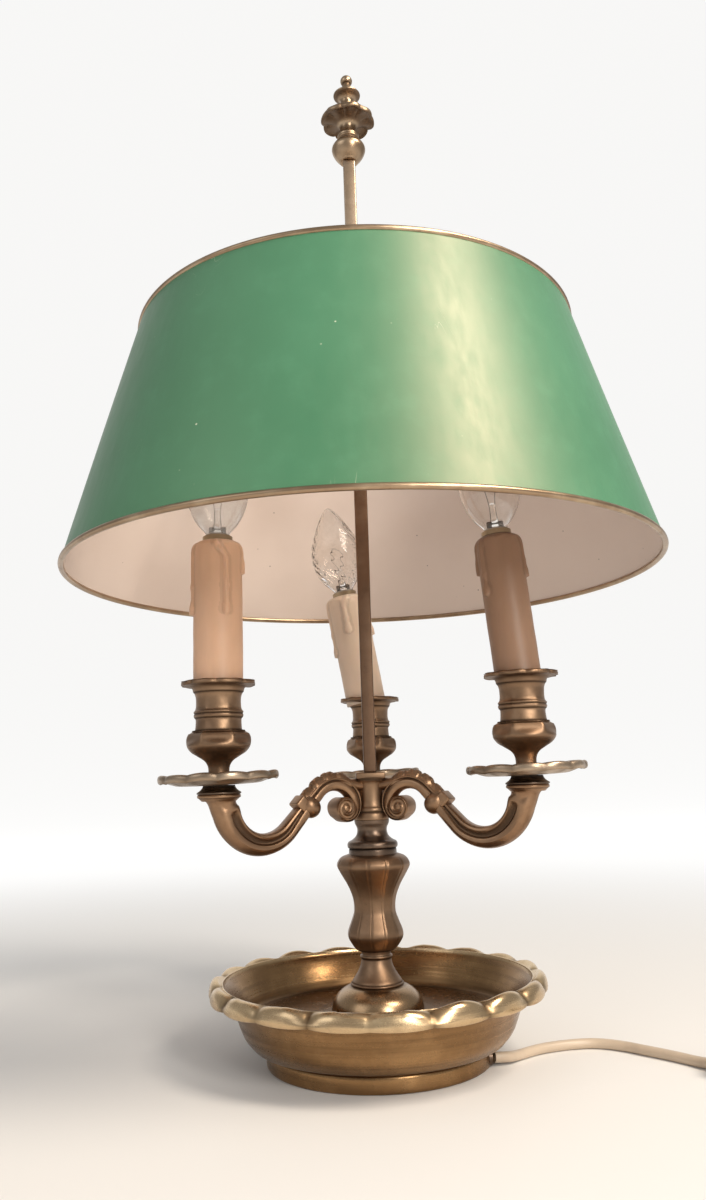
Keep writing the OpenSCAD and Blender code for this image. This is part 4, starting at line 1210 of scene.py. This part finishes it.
def make_cups():
    """A vase whose belly is six-sided at its shoulder and round at its neck, under a wavy flange."""
    line = outline(
        (6.6, 154.6), (5.9, 156.4), (5.6, 160), (6, 163.6), (7.8, 166.4), (11.4, 168.8), (14.8, 171),
        (16.9, 173.8), (17.5, 176.8), (17.2, 179.2), (16.4, 180.8), (16.4, 180.8), (15.4, 181.3),
        (14.4, 182), (14.2, 182.5), (12.7, 182.6), (12.7, 182.6), (12.5, 184.6), (12.4, 188.4),
        (13.1, 189.4), (13.1, 189.4), (13.5, 190.6), (13.1, 191.6), (13.1, 191.6), (13.5, 192.6),
        (12.6, 193.9), (12.2, 196.4), (12.3, 200.4), (13.2, 203), (13.2, 203), (13.7, 203.4), (14.3, 205.4),
        (16, 206.6), (20.2, 206.9), (20.2, 206.9), (20.4, 207.9), (20, 209), (20, 209), (14, 208.8),
        steps=4,
    )
    socket = straight((11.8, 208.2), (11.8, 181), (5.1, 181), (5.1, 154.6))
    cup = turned("candle_cup", line + socket, 96, joined=True)

    def faceted(co, facing):
        radius, angle = polar(co)
        z = co.z
        belly = ramp(z, 174, 178.4) * (1 - ramp(z, 181.8, 182.6)) * ramp(radius, 9, 12)
        bands = ramp(z, 183, 189) * (1 - ramp(z, 193, 200)) * ramp(radius, 11.9, 12.4)
        share = hexagon(angle - facing)
        radius *= 1 + (share - 1) * belly + (share - 1) * 0.35 * bands
        flange = ramp(radius, 14.5, 19.5) * ramp(z, 205, 206.8)
        rise, crease = lobe(angle, FLANGE_LOBES, facing)
        radius -= 1.7 * MM * (1 - rise) ** 2 * flange
        z += 0.5 * MM * noise.noise(from_polar(3, angle, 0)) * flange
        return from_polar(radius, angle, z)

    # Painted shade at the ledges, under the flange and at the foot.
    def painted_ledge_shade(co):
        radius, angle = polar(co)
        lines = max(near(co.z, at, 0.9) for at in (182.6, 189.2, 191.6, 203))
        under = 0.5 * near(co.z, 206, 2) if radius > 13 * MM else 0
        return max(lines, under, 0.5 * (1 - ramp(co.z, 154, 158)))

    mark(cup, painted_ledge_shade)
    for name, facing in (("left", -86), ("right", -93), ("back", -100)):
        shaped = copied(cup, "faceted_cup_" + name, Matrix.Identity(4))
        move_points(shaped, lambda co: faceted(co, facing))
        shaped.data.transform(shift(from_polar(REACH, CANDLES[name][0], 0)))
        settle(shaped, "aged_brass", "candle_cup_" + name)
    remove(cup)


make_pans()
make_cups()

# ---------------- candle sleeves with their wax


SLEEVE_SIDES = 176


class Drip:
    """A run of wax: where it starts round the sleeve, how far down it goes, its half width and thickness."""

    def __init__(self, angle, length, width=2.1, thick=1.5, bend=0.0, knee=0.0):
        self.angle, self.length, self.width, self.thick = angle, length * MM, width * MM, thick * MM
        self.bend, self.knee = bend, knee * MM

    def middle(self, down):
        """The run starts bent aside at the rim and straightens below its knee."""
        if not self.knee:
            return self.angle
        return self.angle + self.bend * (1 - ease(down, 0, self.knee))

    def height(self, angle, down, radius):
        across = ((angle - self.middle(down) + 180) % 360 - 180) * math.pi / 180 * radius
        drop = ease(down, self.length - 9 * MM, self.length - 3.4 * MM)
        bulge = 0.25 * math.exp(-(((down - 0.62 * self.length) / (2 * MM)) ** 2))
        width = self.width * (0.78 + 0.5 * drop + bulge)
        thick = self.thick * (0.75 + 0.5 * drop + bulge)
        if down > self.length - width:
            end = (down - (self.length - width)) / width
            width *= math.sqrt(max(0.0, 1 - min(1.0, end) ** 2))
        if width < 0.05 * MM or abs(across) >= width:
            return 0.0
        return thick * math.sqrt(1 - (across / width) ** 2)


WAX = {
    "left": (
        Drip(-64, 42, 1.7, 1.9, -24, 11), Drip(-165, 41, 2.3, 1.8), Drip(-4, 18, 1.7, 1.4, -8, 8),
        Drip(80, 30), Drip(128, 22, 1.8, 1.4),
    ),
    "right": (
        Drip(-152, 34, 2, 1.5), Drip(168, 20, 1.8, 1.3), Drip(-22, 25, 2, 1.5), Drip(62, 36),
        Drip(112, 24, 1.8, 1.4),
    ),
    "back": (
        Drip(-101, 27, 1.8, 1.6, 14, 8), Drip(-172, 41, 2.1, 1.7), Drip(-14, 30, 2, 1.7), Drip(60, 34),
        Drip(118, 22, 1.8, 1.4),
    ),
}
# The right sleeve's darker card is painted shade.
CARDS = {"left": "candle_card", "right": "tan_candle_card", "back": "cream_candle_card"}
WAX_TOP = 1.5 * MM


def make_sleeve(name):
    """A card tube with a rounded, wax-covered shoulder and runs of wax down its side."""
    radius, length = CANDLES[name][3:5]
    bore, foot = radius - 2.1 * MM, -3 * MM
    rows = [(radius, foot + (length - 4 * MM) * t) for t in shares(120) + [1]]
    shoulder = [
        (radius - 5 * MM * (1 - math.cos(t)), length + (6.6 * math.sin(t) - 7) * MM)
        for t in (math.radians(9 * i) for i in range(2, 11))
    ]
    rim = [(r * MM, length - down * MM) for r, down in ((8.9, 0.3), (8.7, 1.4), (bore / MM, 1.6))]
    sleeve = turned("wax_sleeve_" + name, rows + shoulder + rim + [(bore, foot)], SLEEVE_SIDES, joined=True)
    drips = WAX[name]

    def thickest(angle, down):
        return max(drip.height(angle, down, radius) for drip in drips)

    def skin(angle, down):
        """The wax cap hangs lower round each run."""
        edge = 2.2 * MM
        for drip in drips:
            apart = abs((angle - drip.middle(down) + 180) % 360 - 180) * math.pi / 180 * radius
            edge = max(edge, 10 * MM * math.exp(-((apart / (3.4 * MM)) ** 2)))
        edge += noise.noise(from_polar(2, angle, 0)) * 1.6 * MM
        return 0.7 * MM * (1 - ease(down, edge - 0.7 * MM, edge + 0.5 * MM))

    def waxed(co):
        around, angle = polar(co)
        if around < radius - 1.9 * MM and co.z < length - 2 * MM:
            return co
        down = length - WAX_TOP - co.z
        outward = ease(around, 8.8 * MM, radius - 1.5 * MM)
        added = thickest(angle, down) if down > -1 * MM else 0
        uneven = 0.12 * MM * noise.noise(co * 90)
        return from_polar(around + (max(added, skin(angle, down)) + uneven) * outward, angle, co.z)

    # Painted shade beside each run of wax, and inside the bore.
    def painted_run_shade(co):
        around, angle = polar(co)
        down = length - WAX_TOP - co.z
        beside = thickest(angle + 9, down) + thickest(angle - 9, down)
        return 0.45 * (beside > 0 and thickest(angle, down) == 0) + 0.9 * (around < 9.4 * MM)

    mark(sleeve, painted_run_shade)
    move_points(sleeve, waxed)
    sleeve.data.transform(leaning_place(name))
    settle(sleeve, CARDS[name], "candle_sleeve_" + name, slot="candle_card")


for name in CANDLES:
    make_sleeve(name)

# ---------------- bulbs

GLASS_START = 3.5 * MM
GLASS_T = 0.7 * MM
FLUTES, FLUTE_TWIST, FLUTE_DEPTH = 16, 210, 0.075


def glass_outline(length):
    """A flame shape, from its seat in the cap to its tip."""
    return outline(
        (6.35, 0), (7.6, 2.2), (11.4, 6.5), (15.2, 13.5), (17.5, 23), (16.6, 34), (12.95, length / MM * 0.7),
        (6.3, length / MM * 0.9), (2.2, length / MM * 0.985), (0, length / MM),
    )


def make_glass(name, twisted=False):
    """A hollow flame-shaped bulb; the twisted one is pressed with slanting flutes on its outside."""
    radius, sleeve, length = CANDLES[name][3:]
    outer = glass_outline(length)
    inner = [(max(r - GLASS_T, 0.0), z) for r, z in outer if r > GLASS_T + 0.4 * MM]
    inner.append((0, length - GLASS_T * 1.2))
    glass = turned("bulb_glass_shell_" + name, inner[::-1] + outer, 10 * FLUTES if twisted else 64, angle=60)

    def flutes(co):
        around, angle = polar(co)
        share = ramp(co.z, 3, 10) * (1 - ease(co.z, length * 0.9, length))
        turn = angle + co.z / length * FLUTE_TWIST
        wave = abs(math.sin(math.radians(turn * FLUTES / 2)))
        return from_polar(around * (1 + FLUTE_DEPTH * share * (wave - 0.6)), angle, co.z)

    if twisted:
        skin = {round(z, 7): r for r, z in outer}

        def pressed(co):
            outside = polar(co)[0] > skin.get(round(co.z, 7), 0) - 0.3 * MM
            return flutes(co) if outside else co

        move_points(glass, pressed)
    glass.data.transform(leaning_place(name) @ shift((0, 0, sleeve + GLASS_START)))
    finish = "milky_glass" if name == "left" else "clear_glass"
    settle(glass, finish, "bulb_glass_" + name, body="bulb_" + name, slot="clear_glass")


def make_mount(name):
    """The glass stem inside a bulb, with its two clips and the wires that hold the filament."""
    radius, sleeve, length = CANDLES[name][3:]
    line = outline(
        (0, 0.6), (4.6, 0.6), (4.8, 1.4), (2.8, 4), (1.7, 8), (1.6, 13), (1.9, 14.6), (1.2, 15.6),
        (0, 15.8),
    )
    stem = turned("stem", line, 28)
    metal = []
    for side in (-1, 1):
        places = ((2.6, 3), (1.9, 8), (1.7, 14), (2.4, 20), (3.4, 26), (3.7, 30))
        rise = smooth_path([Vector((side * x, 0, z)) * MM for x, z in places], 4)
        metal.append(rod_along("wire", rise, 0.24 * MM))
        metal.append(block("clip", (3.4 * MM, 2.2 * MM, 4.4 * MM), (side * 3.1 * MM, 0, 2.9 * MM), 0.7 * MM))
    zigzag = [
        Vector((-3.7 + 7.4 * t, 0.5 * math.cos(57.6 * t), 30 + 2 * math.sin(math.pi * t))) * MM
        for t in shares(24) + [1]
    ]
    metal.append(rod_along("filament", zigzag, 0.3 * MM))
    glassy = len(stem.data.polygons)
    mount = joined_as("bulb_mount_" + name, stem, *metal)
    mount.data.transform(leaning_place(name) @ shift((0, 0, sleeve + GLASS_START)))
    settle(mount, ("filament_wire", "clear_glass"), "bulb_filament_" + name, body="bulb_" + name)
    for index in range(glassy):
        mount.data.polygons[index].material_index = 1


for name in CANDLES:
    make_glass(name, twisted=name == "back")
    make_mount(name)

# ---------------- rod and finial


def make_rod():
    """A drawn square bar with soft corners and a slight wander along its faces."""
    foot = HUB_TOP_Z
    size = (ROD_W, ROD_W, ROD_TOP_Z - foot)
    rod = block("square_rod_drawn", size, (0, 0, (ROD_TOP_Z + foot) / 2), 0.9 * MM, 4)
    edit_mode()
    for t in shares(24)[1:]:
        select_points()
        bpy.ops.mesh.bisect(plane_co=(0, 0, foot + (ROD_TOP_Z - foot) * t), plane_no=(0, 0, 1))
    object_mode()

    def wander(co):
        lift = Vector((0, 0, co.z * 30))
        sway = Vector((noise.noise(lift), noise.noise(lift + Vector((5, 0, 0))), 0)) * 0.1 * MM
        sway *= ease(co.z, foot + 3 * MM, foot + 20 * MM) * (1 - ease(co.z, ROD_TOP_Z - 20 * MM, ROD_TOP_Z))
        worn = 0.92 + 0.075 * ramp(co.z, 240, 300)
        return Vector((co.x * worn, co.y * worn, co.z)) + sway

    # Paler above the shade; painted shade darkens the rod towards the hub.
    mark(rod, lambda co: ramp(co.z, 380, 440), "paler_zone")
    mark(rod, lambda co: 0.7 * (1 - ramp(co.z, 190, 330)))
    move_points(rod, wander)
    soften(rod)
    settle(rod, "rod_brass", "square_rod", slot="aged_brass")


def make_finial():
    """The ball under the crown, with its foot and its neck."""
    line = outline(
        (3, 558.1), (5.6, 558.2), (6.6, 559.2), (9.2, 562.4), (10.9, 566), (11.1, 568.6), (9.9, 571),
        (8, 572.6), (8, 572.6), (6.9, 573.6), (6.7, 574.6), (7.4, 575.2), (7.4, 576),
    )
    ball = bored("finial_ball_turned", line, 64, 2.6 * MM)
    # Painted shade at the neck, under the crown.
    mark(ball, lambda co: near(co.z, 574.2, 1.4))
    settle(ball, "gilt_bead", "finial_ball", slot="aged_brass", body="finial")


def make_crown():
    """A leafy brim on a short stem, under a thin disc, a cone and a bead."""
    line = outline(
        (0, 576), (6.4, 576), (7, 576.8), (7, 578.2), (6, 579), (6, 579), (5.2, 579.8), (4.9, 582),
        (5.3, 584.6), (7.4, 586.8), (11.4, 588.2), (15.2, 588.4), (17.2, 587.6), (18, 588.4), (17.8, 590.6),
        (15.8, 592.4), (12.4, 593.6), (9.2, 595), (6.6, 597), (4.6, 599.6), (4, 602), (4.2, 604.4),
        (5.8, 606.2), (8.2, 607.4), (9, 608.3), (8.6, 609.3), (6.2, 609.9), (6.2, 609.9), (5, 611),
        (3.9, 613.4), (3, 615.8), (2.5, 617.6), (2.5, 617.6), (3.7, 618.4), (4, 620.2), (3.2, 622),
        (1.6, 623.4), (0, 624.4),
    )
    crown = turned("finial_crown_leaves", line, LOBE_SIDES * FINIAL_LEAVES)

    def brim(co):
        radius, angle = polar(co)
        rise, crease = lobe(angle, FINIAL_LEAVES, -104)
        return radius, angle, rise, ramp(radius, 7, 16) * ramp(co.z, 583, 586) * (co.z < 600 * MM)

    def leaf(co):
        """Each leaf's tip droops, and the brim draws in between the leaves."""
        radius, angle, rise, out = brim(co)
        curl = noise.noise(from_polar(2, angle, 7))
        lift = (1.6 * (0.6 - rise) + 1.4 * curl) * out
        return from_polar(radius - 1.7 * (1 - rise) * out * MM, angle, co.z + lift * MM)

    def shadow(co):
        radius, angle, rise, out = brim(co)
        below = 0.75 * ramp(radius, 5.6, 8) * (co.z < 588.6 * MM) * (co.z > 583 * MM)
        under_disc = 0.7 * ramp(radius, 5, 7) * (605 * MM < co.z < 608.2 * MM)
        lines = max(near(co.z, at, 0.9) for at in (579, 610, 617.6))
        return max(0.6 * (1 - rise) * out, below, under_disc, lines)

    mark(crown, shadow)
    move_points(crown, leaf)
    settle(crown, "gilt_bead", "finial_crown", slot="aged_brass", body="finial")


make_rod()
make_finial()
make_crown()

# ---------------- shade

SHADE_SIDES = 256


def shade_wave(co):
    """Sheet metal that was rolled by hand: its wall is never quite round."""
    radius, angle = polar(co)
    wave = noise.noise(from_polar(1.3, angle, co.z * 1.5)) * 1.1 * MM
    dent = noise.noise(from_polar(3.1, angle, co.z * 9)) * 0.16 * MM
    rise = (co.z - SHADE_LOW[1]) / (SHADE_TOP[1] - SHADE_LOW[1])
    middle = math.sin(math.pi * min(1.0, max(0.0, rise)))
    return from_polar(radius + wave * 0.5 + (wave + dent) * middle * 0.4, angle, co.z)


def make_shade():
    """The sheet with its painted lining, and the rolled beads along its two edges."""
    low = (SHADE_LOW[0] - BEAD_R, SHADE_LOW[1] + BEAD_R)
    top = (SHADE_TOP[0] - BEAD_R, SHADE_TOP[1] - BEAD_R)
    half = SHEET_T / 2
    outside = [
        (low[0] + (top[0] - low[0]) * t + half, low[1] + (top[1] - low[1]) * t) for t in shares(20) + [1]
    ]
    inside = [(r - SHEET_T, z) for r, z in outside[::-1]]
    wall = turned("shade_wall", outside + inside, SHADE_SIDES, joined=True)
    inner = [face.index for face in wall.data.polygons if face.normal.xy.dot(face.center.xy) < 0]
    move_points(wall, shade_wave)
    settle(wall, ("green_enamel", "lining_paint"), "shade_skin", body="shade")
    for index in inner:
        wall.data.polygons[index].material_index = 1
    beads = (("shade_rolled_foot", low, "shade_bottom_bead"), ("shade_rolled_top", top, "shade_top_bead"))
    for name, (radius, z), replaced in beads:
        circle = [(radius + out, z + up) for out, up in oval(BEAD_R, BEAD_R, 12)]
        bead = turned(name, circle, SHADE_SIDES, joined=True)
        move_points(bead, shade_wave)
        settle(bead, "gilt_bead", replaced, body="shade")


make_shade()

# ---------------- switch lid and plug


def rounded_box(half_length, half_width, power, sides=64):
    """The outline of a box with round corners, squarer with a higher power."""

    def squared(share, half):
        return half * MM * math.copysign(abs(share) ** (2 / power), share)

    return [(squared(up, half_length), squared(side, half_width)) for up, side in oval(1, 1, sides)]


def make_switch_lid():
    """A moulded lid with soft edges and a well for the rocker."""
    stations = []
    for half_length, half_width, z, power in (
        (28.4, 11.4, 8, 7), (28.9, 11.9, 8.5, 7), (29, 12, 9.2, 7), (29, 12, 13, 7), (28.7, 11.7, 14.4, 7),
        (27.9, 11, 15.7, 7), (26.6, 9.9, 16.6, 7), (24.8, 8.6, 17, 7), (11.6, 6.9, 17, 9),
        (10.2, 6, 16.7, 10), (9.6, 5.5, 16.7, 12), (9.1, 5, 16.2, 14), (9, 4.9, 15.6, 16),
        (9, 4.9, 9.8, 16),
    ):
        stations.append((UPWARDS * z * MM, FORWARDS, SIDEWAYS, rounded_box(half_length, half_width, power)))
    lid = swept("switch_lid_moulded", stations, 64)
    mark(lid, lambda co: 1 - ramp(co.z, 9, 12) if abs(co.x) < 9.2 * MM else 0)
    lid.data.transform(shift(SWITCH_AT) @ rotation(SWITCH_ANGLE))
    settle(lid, "cream_plastic", "switch_lid")
    return lid


PLUG_RIBS = 6


def make_plug():
    """A flat moulded plug that tapers into a ribbed strain relief."""
    stations = []
    rings = 4 * PLUG_RIBS
    for i in range(rings + 1):
        t = i / rings
        groove = (0.7 if i % 4 in (1, 2) else 0) * (1 - 0.3 * t)
        radius = 3.6 + 1.8 * t - groove
        stations.append((-26 + 20 * t, radius, radius, 2))
    stations += [
        (-5.2, 5.5, 5.9, 2.1), (-3.4, 5.6, 7.2, 2.4), (-0.6, 5.7, 8.2, 2.8), (3, 5.9, 9, 3.2),
        (7, 6.2, 10.2, 3.6), (10.5, 6.3, 11, 4), (12.6, 6.3, 11.3, 4), (13.6, 6.4, 12, 4.2),
        (14.2, 6.7, 12.8, 4.5), (15, 6.8, 13, 4.5), (17.2, 6.8, 13, 4.5), (17.8, 6.6, 12.8, 4.5),
        (18, 6.2, 12.4, 4.5),
    ]
    line = []
    for along, half_height, half_width, power in stations:
        section = rounded_box(half_height, half_width, power, 48)
        line.append((PLUG_AT - FORWARDS * along * MM, UPWARDS, SIDEWAYS, section))
    plug = swept("plug_moulded", line, 48, 50)
    settle(plug, "cream_plastic", "plug_body")
    return plug


on_lead = [make_switch_lid(), make_plug()]
on_lead += [nodes[name] for name in ("switch_base", "switch_rocker", "switch_screws", "plug_pins")]

# ---------------- the lead joins the lamp's body

mains_lead.data.materials.append(FINISHES["wire_sheath"])
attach(mains_lead, "lamp")
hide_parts("mains_cord", "cord_coil")

# ---------------- floor, backdrop and lights


FLOOR_SIZE, FLOOR_STRETCH, SWEEP_R, BACKDROP_H = 5, 3.2, 1.6, 4
ROOM_LIGHT = 0.4


def studio_paint():
    """Pale paint that keeps the lamp's shadow near it; further out the floor and backdrop glow for camera,
    glossy and transmission rays, white behind the lamp and grey to the sides.
    """
    f = Finish("studio_paint")
    x, y, z = f.axes()
    fine = f.noise(900, 3, 0.6)
    path = f.tree.nodes.new("ShaderNodeLightPath")
    seen = Sock(f, path.outputs["Is Camera Ray"])
    for ray in ("Is Glossy Ray", "Is Transmission Ray"):
        seen = seen.larger(Sock(f, path.outputs[ray]))
    distance = ((x + 0.1) * (x + 0.1) + (y + 0.1) * (y + 0.1) + z * z * 4) ** 0.5
    away = distance.above(0.1, 1.5) * seen
    bright = y.above(-2.4, -0.7) * x.absolute().below(2.2, 5.5)
    backdrop = f.mix(bright, (0.38, 0.376, 0.372), (0.93, 0.925, 0.915))
    return f.set(
        Base_Color=f.mix(away, (0.8, 0.785, 0.765), (0, 0, 0)),
        Emission_Color=f.mix(away, (0, 0, 0), backdrop), Emission_Strength=1.0,
        Roughness=f.uneven(0.6, (fine, 0.06)), Specular_IOR_Level=0.2,
    )


def make_floor():
    """A floor that turns up into a backdrop with a wide sweep."""
    deselect()
    bpy.ops.mesh.primitive_plane_add(size=FLOOR_SIZE)
    floor = bpy.context.object
    floor.name = "floor"
    move_points(floor, lambda co: Vector((co.x * FLOOR_STRETCH, co.y, 0)))
    edit_mode()
    select_points("DESELECT")
    object_mode()
    for vertex in floor.data.vertices:
        vertex.select = vertex.co.y > 0
    edit_mode()
    for degrees in range(5, 95, 5):
        before, after = math.radians(degrees - 5), math.radians(degrees)
        ahead, up = math.sin(after) - math.sin(before), math.cos(before) - math.cos(after)
        extrude((0, SWEEP_R * ahead, SWEEP_R * up))
    extrude((0, 0, BACKDROP_H))
    object_mode()
    soften(floor)
    floor.data.materials.append(studio_paint())


def make_world():
    """An even pale room that fills the shadows."""
    world = bpy.data.worlds.new("pale_room")
    bpy.context.scene.world = world
    world.use_nodes = True
    background = world.node_tree.nodes["Background"]
    background.inputs["Strength"].default_value = ROOM_LIGHT
    background.inputs["Color"].default_value = (0.95, 0.94, 0.93, 1)


def soft_lamp(name, at, aim, size, power, color=(1, 0.96, 0.9)):
    """A rectangular lamp at a place, aimed at another."""
    light = bpy.data.lights.new(name, "AREA")
    light.shape = "RECTANGLE"
    light.size, light.size_y = size
    light.energy = power
    light.color = color
    holder = bpy.data.objects.new(name, light)
    holder.location = at
    holder.rotation_euler = (Vector(aim) - Vector(at)).to_track_quat("-Z", "Y").to_euler()
    bpy.context.scene.collection.objects.link(holder)


make_floor()
make_world()
soft_lamp("window_right", (1.04, -0.84, 1.72), (0, 0, 0.3), (0.6, 0.9), 37, (1, 0.89, 0.76))
soft_lamp("low_right", (0.7, -1.5, 0.75), (0, 0, 0.15), (0.3, 0.8), 15)
soft_lamp("wide_left", (-1.5, -1.2, 1.2), (0, 0, 0.2), (1.2, 1.2), 5.5, (0.95, 0.97, 1))

bpy.context.scene.view_settings.view_transform = "Standard"
